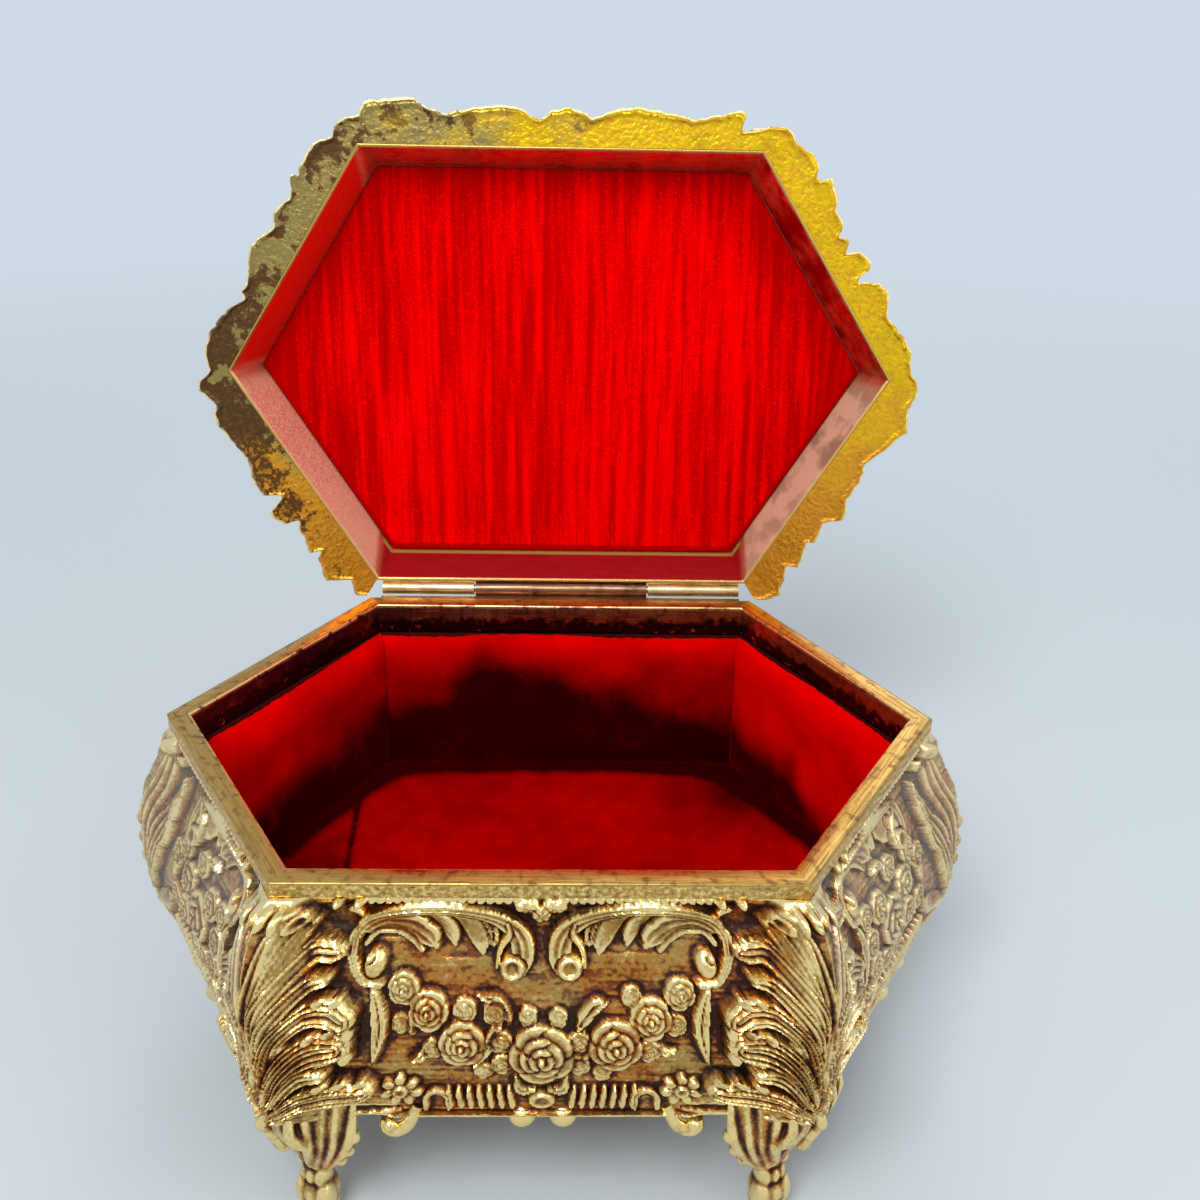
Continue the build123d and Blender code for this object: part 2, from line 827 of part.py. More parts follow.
def dome_outline(foot, grow, inset, run_on):
    """Section of the dome: an upright foot, a round shoulder and a shallow crown."""
    shoulder = (-shoulder_radius, -dome_side)
    crown = (-dome_half, crown_centre)
    turn = 90 - crown_angle
    with BuildLine() as edge:
        outer = CenterArc(shoulder, shoulder_radius + grow, 0, -turn)
        outer_crown = CenterArc(crown, crown_radius + grow, -turn, -crown_angle)
        inner = CenterArc(shoulder, shoulder_radius - inset, 0, -turn)
        inner_crown = CenterArc(crown, crown_radius - inset, -turn, -crown_angle)
        Line((grow, foot), outer @ 0)
        Line((-inset, foot), inner @ 0)
        Line((grow, foot), (-inset, foot))
        if run_on:
            tip = Line(outer_crown @ 1, outer_crown @ 1 - Vector(run_on, 0))
            back = Line(inner_crown @ 1, inner_crown @ 1 - Vector(run_on, 0))
            Line(tip @ 1, back @ 1)
        else:
            Line(outer_crown @ 1, inner_crown @ 1)
    make_face(edge.edges())


def dome_shell(foot, grow, inset):
    """Six gores between two depths of the dome's skin. The side ones run past the middle."""
    gores = [
        mitred_bar(
            lid_frame_plane, dome_now, dome_grown, side,
            lambda: dome_outline(foot, grow, inset, 0 if side in (0, 3) else lid_wall),
        ).part
        for side in range(6)
    ]
    with BuildPart() as shell:
        for gore in gores:
            add(gore)
    return shell.part


def raised_dome(height, outlines):
    """Carving of one height on the dome, kept inside outlines drawn in plan."""
    layer = dome_shell(face_level - flange_thickness / 2, height, lid_wall / 2)
    hinge_line = dome_now[0][1] + hinge_side_clearance
    with BuildPart() as carved:
        add(layer)
        with BuildSketch(lid_frame_plane.offset(dome_below)):
            outlines()
            with Locations((0, hinge_line)):
                Rectangle(
                    2 * hollow_length, hollow_depth, align=(Align.CENTER, Align.MAX),
                    mode=Mode.SUBTRACT,
                )
        extrude(amount=face_level - dome_below, mode=Mode.INTERSECT)
    return carved.part


# Layout of the dome's carving in plan, for one quarter from its middle
dome_curls = [
    [(19.5, 3.4), (20.8, 8.6), (24.6, 13.0), (30.6, 14.2), (36.2, 11.4), (38.0, 6.4), (35.4, 3.4)],
    [(3.4, 15.2), (7.6, 19.8), (14.0, 20.6), (18.4, 16.6), (16.6, 13.6)],
]
dome_flowers = [(27.0, 8.4, 2.9), (22.6, 17.0, 2.4), (11.0, 16.2, 2.3), (29.4, 18.2, 2.2)]
dome_sprays = [(27.5, 21.3, 14.0, 2.6, 5.0), (42.0, 12.2, 19.0, 3.2, -56.0)]


def dome_curl_outlines():
    """Curling scrolls, roses and thin leaves, alike in all four quarters of the crown."""
    for across in (-1, 1):
        for along in (-1, 1):
            for curl in dome_curls:
                with BuildLine() as curve:
                    Spline(*[(across * x, dome_middle + along * y) for x, y in curl])
                trace(curve.line, line_width=dome_scroll_width)
            for x, y, radius in dome_flowers:
                with Locations((across * x, dome_middle + along * y)):
                    Circle(radius)
            for x, y, length, width, turn in dome_sprays:
                with Locations((across * x, dome_middle + along * y)):
                    Ellipse(length / 2, width / 2, rotation=across * along * turn)
        with Locations((across * end_rose_place, dome_middle)):
            Circle(dome_flowers[0][2])
        with Locations((0, dome_middle + across * crest_place)):
            Ellipse(crest_half, 1.2 * crest_half)


def dome_leaf_outlines():
    """A pointed leaf up each corner of the dome and a shell in the middle of each side."""
    for corner_index, (x, y) in enumerate(dome_now):
        corner = Vector(x, y)
        inward = (Vector(0, dome_middle) - corner).normalized()
        aside = Vector(-inward.Y, inward.X) * dome_leaf_half
        leaf_length = end_leaf_length if corner_index % 3 == 2 else corner_leaf_length
        base = corner - inward * dome_leaf_half
        neck = corner + inward * (0.45 * leaf_length)
        tip = corner + inward * leaf_length
        points = [
            base + aside, neck + aside * 0.85, tip, neck - aside * 0.85, base - aside
        ]
        with BuildLine() as edge:
            Polyline(*[(point.X, point.Y) for point in points], close=True)
        make_face(edge.edges())
    for side in range(6):
        start, end, middle, outward, length = side_of(dome_now, side)
        with Locations((middle.X, middle.Y)):
            Ellipse(shell_half, shell_depth, rotation=degrees(atan2(outward.Y, outward.X)) - 90)


# Scalloped border: places along each side as a share of its length, and how far out they lie
hinge_side_scallops = [(0.02, 8.3), (0.2, 8.4), (0.36, 8.2), (0.52, 5.8), (0.76, 8.6), (0.95, 7.2)]
free_side_scallops = [(0.05, 7.0), (0.28, 5.9), (0.46, 6.2), (0.64, 5.9), (0.82, 6.4), (0.97, 6.6)]
free_edge_scallops = [(0.05, 7.8), (0.2, 6.2), (0.44, 6.2), (0.56, 6.2), (0.8, 6.2), (0.95, 7.8)]
scallop_bulge = 1.3


def border_point(index, share, out_by):
    start, end, middle, outward, length = side_of(hollow_now, index)
    place = start + (end - start) * share + outward * out_by
    return place.X, place.Y


def scalloped_outline():
    """Arcs that swell outwards between the places of the border."""
    tail = hollow_start - hollow_lip
    places = [border_point(1, share, out_by) for share, out_by in hinge_side_scallops]
    places += [border_point(2, share, out_by) for share, out_by in free_side_scallops]
    edge = [border_point(3, share, out_by) for share, out_by in free_edge_scallops]
    places += edge
    places += [(-x, y) for x, y in reversed(places[: -len(edge)])]
    corner_x = hollow_hexagon(hollow_lip)[1][0]
    with BuildLine() as edge:
        for near, far in zip(places[:-1], places[1:]):
            chord = Vector(*far) - Vector(*near)
            out = Vector(chord.Y, -chord.X).normalized()
            crest = (Vector(*near) + Vector(*far)) * 0.5 + out * scallop_bulge
            ThreePointArc(near, (crest.X, crest.Y), far)
        Polyline(places[-1], (-corner_x, tail), (corner_x, tail), places[0])
    make_face(edge.edges())


dome_ground = dome_shell(face_level, 0, lid_wall)
dome_layers = [
    raised_dome(dome_scroll_height, dome_curl_outlines),
    raised_dome(dome_leaf_height, dome_leaf_outlines),
]
medallion = [
    (0, medallion_length / 2, medallion_width / 2, medallion_height),
    (0, centre_rose_radius, centre_rose_radius, centre_rose_height),
    (-side_rose_place, side_rose_radius, side_rose_radius, side_rose_height),
    (side_rose_place, side_rose_radius, side_rose_radius, side_rose_height),
]
with BuildPart() as lid_casting:
    add(dome_ground)
    for dome_layer in dome_layers:
        add(dome_layer)
    with BuildSketch(lid_frame_plane.offset(face_level - flange_thickness)):
        scalloped_outline()
    extrude(amount=flange_thickness)
    with BuildSketch(lid_frame_plane.offset(face_level - frame_lip_height)):
        with BuildLine():
            Polyline(*hollow_hexagon(hollow_lip), close=True)
        make_face()
    extrude(amount=frame_lip_height, mode=Mode.SUBTRACT)
    for along, half_length, half_width, height in medallion:
        with BuildSketch(lid_frame_plane.offset(dome_top + lid_wall / 2)):
            with Locations((along, dome_middle)):
                Ellipse(half_length, half_width)
        extrude(amount=-lid_wall / 2 - height)

pieces = {
    "rim_frame": rim_frame,
    "panel_front": panel_front,
    "panel_back": panel_back,
    "panel_left_front": panel_left_front,
    "panel_left_back": panel_left_back,
    "panel_right_front": panel_right_front,
    "panel_right_back": panel_right_back,
    "base_plate": base_plate,
    "foot_front_left": foot_front_left,
    "foot_front_right": foot_front_right,
    "foot_back_left": foot_back_left,
    "foot_back_right": foot_back_right,
    "floor_board": floor_board,
    "floor_pad": floor_pad,
    "hinge_leaf_body": hinge_leaf_body,
    "hinge_leaf_lid": hinge_leaf_lid,
    "hinge_pin": hinge_pin,
    "lid_casting": lid_casting,
    "lid_frame": lid_frame,
    "lid_board": lid_board,
    "lid_velvet": lid_velvet,
}
for side_name in side_names:
    pieces["wall_board_" + side_name] = wall_boards[side_name]
    pieces["lining_" + side_name] = linings[side_name]

# Move the drawing so that the open casket's box is centred over the origin
boxes = [piece.part.bounding_box() for piece in pieces.values()]
shift = -(min(box.min.Y for box in boxes) + max(box.max.Y for box in boxes)) / 2
centring = Location((0, shift, 0))
os.makedirs("parts", exist_ok=True)
for name, piece in pieces.items():
    piece.part.label = name
    piece.part.move(centring)
    export_step(piece.part, "parts/" + name + ".step")
print("hinge axis at y, z:", hinge_y + shift, hinge_z)
print("body moved in y by", shift)
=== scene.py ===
"""Looks of a six-sided gilt jewelry casket with carved walls, velvet lining and an open lid."""

import json
from math import atan2, cos, hypot, pi, radians, sin
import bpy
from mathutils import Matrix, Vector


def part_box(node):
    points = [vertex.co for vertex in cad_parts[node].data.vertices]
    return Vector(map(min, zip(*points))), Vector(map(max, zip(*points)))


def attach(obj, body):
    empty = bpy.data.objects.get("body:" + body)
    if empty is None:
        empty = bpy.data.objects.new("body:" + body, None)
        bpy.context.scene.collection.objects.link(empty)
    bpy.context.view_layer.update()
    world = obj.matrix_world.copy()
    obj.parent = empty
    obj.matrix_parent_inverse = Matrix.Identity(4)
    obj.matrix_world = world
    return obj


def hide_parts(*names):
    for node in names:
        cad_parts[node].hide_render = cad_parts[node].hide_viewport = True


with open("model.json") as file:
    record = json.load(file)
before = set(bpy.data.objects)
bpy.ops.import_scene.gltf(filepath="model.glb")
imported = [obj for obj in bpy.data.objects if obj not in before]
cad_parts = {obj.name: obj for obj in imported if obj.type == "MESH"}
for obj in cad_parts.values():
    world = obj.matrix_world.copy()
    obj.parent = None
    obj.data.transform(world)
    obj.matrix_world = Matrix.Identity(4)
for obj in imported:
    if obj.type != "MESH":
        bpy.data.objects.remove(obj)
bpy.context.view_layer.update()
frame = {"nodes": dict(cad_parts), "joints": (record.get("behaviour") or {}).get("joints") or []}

from types import SimpleNamespace

import bpy
import numpy as np
from bpy.props import FloatProperty, FloatVectorProperty, IntProperty, PointerProperty
from mathutils import Matrix, Vector

bl_info = {
    "name": "Jewelry casket",
    "version": (1, 0, 0),
    "blender": (4, 5, 0),
    "location": "View3D > Sidebar > Casket",
    "description": "Carved gilt casket with velvet lining, made around a fixed frame",
    "category": "Object",
}

# Lengths in the modelling functions are millimetres. The plan is drawn around the body's middle.
MM = 0.001
rim_low, rim_high = (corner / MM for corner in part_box("rim_frame"))
plan_shift = (rim_low.y + rim_high.y) / 2
rim_top = rim_high.z

hinge_y, hinge_z = (frame["joints"][0]["pos_m"][axis] / MM for axis in (1, 2))
lean = radians(6.7)
side_names = ["front", "right_front", "right_back", "back", "left_back", "left_front"]
weld_gap = 2e-6  # metres

# Plans with six sides, as (front side, greatest length, depth, middle)
rim_plan = (74.0, 127.0, 85.0, 0.0)
hollow_plan = (71.6, 122.4, 80.6, 42.6)
dome_plan = (73.7, 126.6, 83.4, 43.3)

# Walls: top and bottom below the rim's top, lower edge and how much lower that is at the feet
wall_top, wall_bottom = 2.6, 41
wall_hem, hem_at_foot = 39.7, 1.3
wall_back_rows = 16

# Where the drawing of a slanted wall starts from its middle, and how wide a corner's ridge is
side_start = 12
ridge_width, side_ridge_width = 2.4, 1.6

# Profiles of the walls, as (drop below the rim's top, distance out of the rim)
wall_curve = [(2.6, -0.4), (7.5, -1.6), (14, 0.9), (25, 3.9), (41, 3.3)]
back_curve = [(2.6, -2.3), (6, -2.3), (7.4, -3), (14, -0.5), (25, 2.5), (34.8, 1.9), (41, 1.9)]
foot_swell = [(2.6, 1.5), (7.5, 6.2), (13, 6.0), (25, 1.8), (33, 1.5), (41, 1.3)]
side_swell = [(2.6, 0.9), (7.5, 3.6), (13, 3.9), (25, 1.8), (33, 1.3), (41, 0.8)]

# How wide the edge of a carved motif is
motif_edge = 0.22

# Feet
vein_top = 26.2
foot_voxel = 0.00027  # metres

# Drops under the walls, as (place from the middle, size), and how low and far out they hang
long_wall_drops = ((-3, 2.1), (3, 2.1))
slanted_wall_drops = ((-6, 1.8), (2.5, 2.1), (11, 1.8))
hooked_drop_place = 21.3
drop_hang, drop_out = 40.0, 2.8

# Sections of the rim and of the hollow's frame, as (grown, level)
rim_section = [(0, 0), (-3.3, 0), (-3.3, -6), (-2.3, -6), (-2.3, -2.6), (0, -2.6)]
hollow_section = [
    (0.7, 0.3), (0.45, 0.5), (0, 0.3), (-3.2, -6.7), (-3.2, -8.3), (-2.4, -8.3), (-2.4, -6.7),
    (-0.8, -3.2), (0.7, -3.2),
]

# Dome of the lid: half its depth, the round of its shoulder and its slope beside it. Distances
# off the lid's plane end in _t: the foot, the upright side's top, a point that faces look from.
dome_half_depth, dome_shoulder, dome_slope = 41.7, 8.0, radians(10)
dome_foot_t, dome_side_t, dome_heart_t = 0.2, -5.0, 20
dome_side_rows = 11
dome_sheet = 1.2
under_insets = [0.3, 0.5, 0.8, 1.6, 3.2, 6, 10, 16, 23, 31, 38, 41.5]

# Lid: the plain band up its dome, its highest part that is carved as a side, and its border
dome_band, dome_band_height = (13.2, 14.6), 0.55
dome_sides_top = 14.5
border_top_shares, border_low_shares = np.linspace(0, 1, 22), np.linspace(0.96, 0.0, 14)

# How often a skin is smoothed, finely and broadly, to find what stands out of it
wear_rounds = (5, 30)

# Velvet panels
panel_columns, panel_rings, panel_back_rings = 420, 130, 6
panel_crown = 0.5
floor_level, floor_thick = 28.8, 0.7
lid_level, lid_thick = -7.5, 0.8
floor_inset, lid_inset = 4.81, 3.3
crease_x, crease_slant = 37, 0.06

# Studio
room_light = (0.55, 0.57, 0.6, 1)
studio_lights = [
    ("key_light", 0.3, (-0.16, -0.42, 0.62)),
    ("fill_light", 0.5, (0.5, -0.3, 0.4)),
    ("back_light", 0.4, (0.1, 0.6, 0.5)),
]
lit_point = (0, 0, 0.06)
view_direction = (0.02719, 0.90679, -0.42070)
view_roll = radians(1.34)
view_shift = (-0.0295, -0.0452)


# ------------------------------------------------------------------ plan and profiles


def hexagon(plan, grow):
    """Corners of a plan, anticlockwise from the front left, grown square to every side."""
    front, length, depth, middle = plan
    run = (length - front) / 2
    rise = depth / 2
    slant = hypot(run, rise)
    half_front = front / 2 + grow * (slant - run) / rise
    half_length = length / 2 + grow * slant / rise
    half_depth = depth / 2 + grow
    low, high = middle - half_depth, middle + half_depth
    return np.array([
        (-half_front, low), (half_front, low), (half_length, middle), (half_front, high),
        (-half_front, high), (-half_length, middle),
    ])


def rim_hexagon(grow=0.0):
    return hexagon(rim_plan, grow)


def hollow_hexagon(grow=0.0):
    return hexagon(hollow_plan, grow)


def dome_hexagon(grow=0.0):
    return hexagon(dome_plan, grow)


def body_place(x, y, z):
    return np.stack([x, y + plan_shift, z], -1) * MM


def lid_place(x, high, out):
    """From the lid's own plane: along the hinge, up from it, and out of the hollow."""
    y = hinge_y + high * sin(lean) - out * cos(lean)
    z = hinge_z + high * cos(lean) + out * sin(lean)
    return np.stack([x, y, z], -1) * MM


def smooth(low, high, value):
    share = np.clip((value - low) / (high - low), 0, 1)
    return share * share * (3 - 2 * share)


def curve_at(places, at):
    """Smooth curve through places, read at any point."""
    xs, ys = np.array(places, float).T
    slopes = np.gradient(ys, xs)
    span = np.clip(np.searchsorted(xs, at, side="right") - 1, 0, len(xs) - 2)
    width = xs[span + 1] - xs[span]
    t = np.clip((at - xs[span]) / width, 0, 1)
    t2, t3 = t * t, t * t * t
    return (
        (2 * t3 - 3 * t2 + 1) * ys[span]
        + (t3 - 2 * t2 + t) * width * slopes[span]
        + (3 * t2 - 2 * t3) * ys[span + 1]
        + (t3 - t2) * width * slopes[span + 1]
    )


def drawn_line(places, steps=10):
    """Points of a smooth line through places. Further columns, such as widths, follow it."""
    knots = np.array(places, float)
    knots = np.vstack([2 * knots[0] - knots[1], knots, 2 * knots[-1] - knots[-2]])
    t = np.linspace(0, 1, steps, endpoint=False)[:, None]
    spans = []
    for a, b, c, d in zip(knots[:-3], knots[1:-2], knots[2:-1], knots[3:]):
        spans.append(
            0.5 * (2 * b + (c - a) * t + (2 * a - 5 * b + 4 * c - d) * t**2
                   + (3 * b - a - 3 * c + d) * t**3)
        )
    spans.append(knots[-2][None])
    return np.vstack(spans)


def soft_noise(shape, cells, seed):
    """Smooth random field: coarse seeded numbers drawn out over a grid."""
    rng = np.random.default_rng(seed)
    high, wide = (max(int(n / size) + 3, 4) for n, size in zip(shape, cells))
    coarse = rng.uniform(-1, 1, (high, wide))
    rows = np.linspace(0, high - 2.001, shape[0])
    columns = np.linspace(0, wide - 2.001, shape[1])
    r, c = rows.astype(int), columns.astype(int)
    fr, fc = smooth(0, 1, rows - r)[:, None], smooth(0, 1, columns - c)[None]
    near = coarse[r][:, c] * (1 - fc) + coarse[r][:, c + 1] * fc
    far = coarse[r + 1][:, c] * (1 - fc) + coarse[r + 1][:, c + 1] * fc
    return near * (1 - fr) + far * fr


# ------------------------------------------------------------------ carving in relief


class Carving:
    """Relief over a flat layout. Each motif is laid over what is under it."""

    def __init__(self, q, w, swell=None):
        self.q, self.w = q, w
        self.swell = np.zeros(q.shape) if swell is None else swell
        self.height = self.swell.copy()

    def near(self, low, high):
        return np.nonzero(
            (self.q > low[0]) & (self.q < high[0]) & (self.w > low[1]) & (self.w < high[1])
        )

    def lay(self, where, cover, value, lift):
        under = self.height[where]
        top = np.maximum(self.swell[where], lift) + value
        self.height[where] = under * (1 - cover) + top * cover

    def stroke(self, places, high, kind="bar", lift=0.25, flutes=2, lobes=0):
        """A motif along a smooth line. Places are (q, w, half width)."""
        line = drawn_line(places)
        reach = line[:, 2].max() + 0.1
        where = self.near(line[:, :2].min(0) - reach, line[:, :2].max(0) + reach)
        if not len(where[0]):
            return
        at = np.stack([self.q[where], self.w[where]], -1)
        gap = ((at[:, None, :] - line[None, :, :2]) ** 2).sum(-1)
        nearest = gap.argmin(1)
        heading = np.gradient(line[:, :2], axis=0)
        heading /= np.linalg.norm(heading, axis=1)[:, None] + 1e-9
        away = at - line[nearest, :2]
        along = nearest / (len(line) - 1)
        head = heading[nearest]
        side = head[:, 0] * away[:, 1] - head[:, 1] * away[:, 0]
        ended = (nearest == 0) | (nearest == len(line) - 1)
        far = np.where(ended, np.sqrt(gap.min(1)), np.abs(side))
        half = line[nearest, 2]
        if lobes:
            half = half * (0.76 + 0.24 * np.abs(np.sin(pi * lobes * along)) ** 0.6)
        x = np.clip(far / half, 0, 1)
        value = high * profiles[kind](x, np.sign(side) * x, along, flutes)
        cover = np.clip((half - far) / motif_edge, 0, 1)
        self.lay(where, cover, value, lift)

    def boss(self, q, w, wide, tall, high, turn=0.0, kind="dome", lift=0.25, edge=motif_edge):
        """A round or oval motif."""
        reach = max(wide, tall) + 0.1
        where = self.near((q - reach, w - reach), (q + reach, w + reach))
        if not len(where[0]):
            return
        dq, dw = self.q[where] - q, self.w[where] - w
        a = dq * cos(turn) + dw * sin(turn)
        b = -dq * sin(turn) + dw * cos(turn)
        far = np.hypot(a / wide, b / tall)
        around = np.arctan2(b, a)
        value = high * bosses[kind](np.clip(far, 0, 1), around)
        cover = np.clip((1 - far) * min(wide, tall) / edge, 0, 1)
        self.lay(where, cover, value, lift)

    def rose(self, q, w, size, high, turn=0.0, tall=1.15, lift=0.3):
        """Petals laid in three rings that close over each other towards the heart."""
        for ring, (count, out, petal, rise) in enumerate(
            [(5, 0.58, 0.56, 0.55), (4, 0.34, 0.44, 0.8), (3, 0.17, 0.3, 0.98)]
        ):
            for k in range(count):
                angle = turn + 2 * pi * (k + 0.5 * ring) / count
                self.boss(
                    q + size * out * cos(angle), w + size * tall * out * sin(angle),
                    size * petal * 0.8, size * petal * tall, high * rise, angle, "petal", lift,
                )
        self.boss(q, w, size * 0.16, size * 0.18 * tall, high * 1.05, 0, "dome", lift)

    def daisy(self, q, w, size, high, count=7):
        for k in range(count):
            angle = 2 * pi * (k + 0.3) / count
            self.boss(
                q + 0.62 * size * cos(angle), w + 0.62 * size * sin(angle),
                0.4 * size, 0.27 * size, high, angle, "petal",
            )
        self.boss(q, w, 0.42 * size, 0.42 * size, 1.2 * high, 0, "ring")

    def row(self, places, wide, tall, high, turn=0.0, kind="dome", lift=0.25):
        for q, w in places:
            self.boss(q, w, wide, tall, high, turn, kind, lift)

    def leaves(self, lines):
        for places in lines:
            self.stroke(places, 1.0, "leaf", flutes=1)

    def roses(self, places, mirror=1, flip=1):
        for q, w, *rest in places:
            self.rose(mirror * q, flip * w, *rest)


def edge_of(x):
    return np.sqrt(np.clip(1 - x**4, 0, 1))


profiles = {
    "bar": lambda x, s, t, n: np.sqrt(np.clip(1 - x * x, 0, 1)),
    "scroll": lambda x, s, t, n: edge_of(x) * (
        0.62 + 0.38 * x**2 + 0.2 * np.exp(-((s / 0.16) ** 2))
    ),
    "fluted": lambda x, s, t, n: edge_of(x) * (0.8 + 0.2 * np.cos(pi * n * s)),
    "leaf": lambda x, s, t, n: (0.45 + 0.55 * edge_of(x)) * (
        0.92 - 0.42 * np.exp(-((s / 0.13) ** 2)) + 0.12 * np.cos(2 * pi * (n * t * 3 - 1.3 * x))
    ),
    "fold": lambda x, s, t, n: (0.5 + 0.5 * edge_of(x)) * (
        0.84 + 0.26 * s + 0.16 * np.cos(pi * n * (s + 0.25 * s * s))
    ),
    "plume": lambda x, s, t, n: (0.35 + 0.65 * edge_of(x)) * (
        0.66 + 0.26 * smooth(0.5, 0.95, t) + 0.17 * np.cos(pi * n * (s + 0.12 * s * s))
        - 0.16 * np.exp(-((s / 0.1) ** 2))
    ),
    "blade": lambda x, s, t, n: (0.55 + 0.45 * edge_of(x)) * (
        0.8 + 0.22 * s + 0.07 * np.cos(pi * n * s)
    ),
    "cup": lambda x, s, t, n: edge_of(x) * (0.3 + 0.7 * smooth(-1.0, 0.9, s)) + 0.25 * smooth(
        0.72, 0.86, s
    ) * edge_of(x),
}
bosses = {
    "dome": lambda r, a: np.sqrt(np.clip(1 - r * r, 0, 1)),
    "petal": lambda r, a: edge_of(r) * (0.72 + 0.2 * r * r + 0.16 * r * np.cos(a)),
    "ring": lambda r, a: edge_of(r) * (0.7 + 0.3 * np.exp(-(((r - 0.66) / 0.2) ** 2))),
    "shell": lambda r, a: edge_of(r) * (0.75 + 0.25 * np.abs(np.cos(3.5 * a))),
    "flute": lambda r, a: edge_of(r) * (0.7 + 0.3 * np.cos(r * np.cos(a) * pi)),
}


def carve_arch(c):
    """One C scroll with its leaves, drawn from the middle of the front outwards."""
    c.stroke([(24.0, 7.6, 0.8), (20.8, 5.9, 1.9), (17.8, 6.5, 2.6), (15.6, 8.2, 2.2),
              (14.3, 9.9, 0.9)], 1.3, "blade", 0.35, flutes=3, lobes=3)
    c.stroke([(15.4, 3.9, 0.6), (13.4, 5.8, 1.3), (12.2, 8.4, 1.2), (11.9, 9.6, 0.7)], 1.1, "blade",
             flutes=1)
    c.stroke([(12.0, 3.9, 0.7), (9.9, 5.9, 1.6), (8.4, 9.2, 1.5), (8.1, 10.6, 0.8)], 1.4, "blade",
             flutes=1)
    c.stroke([(8.4, 4.5, 0.6), (6.9, 6.9, 1.0), (6.5, 9.4, 0.8)], 1.0, "leaf")
    c.stroke([(24.4, 9.8, 0.6), (22.4, 7.8, 0.7), (19.6, 7.7, 0.8), (17.6, 9, 0.8),
              (16.4, 10.8, 0.5)], 1.1, "scroll")
    c.stroke(
        [(21.8, 15.6, 0.5), (24.6, 14.8, 0.8), (26.1, 11.4, 1.0), (25.6, 7.8, 1.15),
         (22.9, 4.8, 1.25), (18.7, 3.2, 1.3), (14.2, 2.8, 1.3), (9.7, 3.4, 1.35),
         (5.8, 5.2, 1.5), (3.2, 8.0, 1.7), (2.5, 11.0, 1.8), (3.3, 13.3, 1.6)],
        1.9, "scroll",
    )
    c.boss(3.9, 12.9, 2.1, 2.2, 1.9, kind="ring")
    c.stroke([(6.0, 12.6, 0.5), (5.6, 10.2, 0.6), (4.3, 8.0, 0.7), (4.6, 6.0, 0.4)], 1.6, "bar")
    c.boss(22.9, 12.6, 1.7, 2.5, 1.7, -0.3)
    c.boss(23.3, 11.3, 0.8, 1.0, 2.1, -0.3)
    c.stroke([(23.4, 15.8, 0.3), (22.6, 18.5, 1.1), (22.3, 21.8, 1.3), (22.8, 25, 0.9),
              (23.6, 28.2, 0.25)], 1.2, "leaf", flutes=0)


def carve_frieze(c):
    """Small work along the top and the bottom of the front half."""
    c.row([(q, 1.5) for q in np.arange(3.2, 24.5, 1.25)], 0.75, 0.8, 0.7)
    c.stroke([(-1, 39.1, 0.55), (8, 39.2, 0.55), (19, 39.2, 0.55)], 0.8, "bar")
    c.row([(4.4 + 1.45 * k, 35.2) for k in range(7)], 0.72, 2.7, 1.0, 0.12, "flute")
    c.stroke([(13.4, 37.6, 0.4), (13.6, 34.6, 0.6), (15, 33.6, 0.6), (16.4, 34.8, 0.6),
              (16.6, 37.4, 0.5)], 1.0, "scroll")
    c.daisy(19.9, 33.4, 3.2, 1.1)
    c.stroke([(24.3, 5.4, 0.4), (25.2, 3.9, 0.6), (26.7, 3.2, 0.6), (28.2, 3.9, 0.6),
              (29.0, 5.4, 0.4)], 1.2, "scroll")
    c.boss(26.7, 5.0, 0.8, 0.9, 0.9)
    c.boss(25.0, 1.5, 1.0, 1.2, 1.9)
    c.boss(28.4, 1.5, 1.0, 1.2, 1.9)
    c.stroke([(19.2, 39.0, 0.4), (22, 40.0, 0.5), (26, 40.3, 0.5), (31, 40.6, 0.5)], 0.7, "bar")


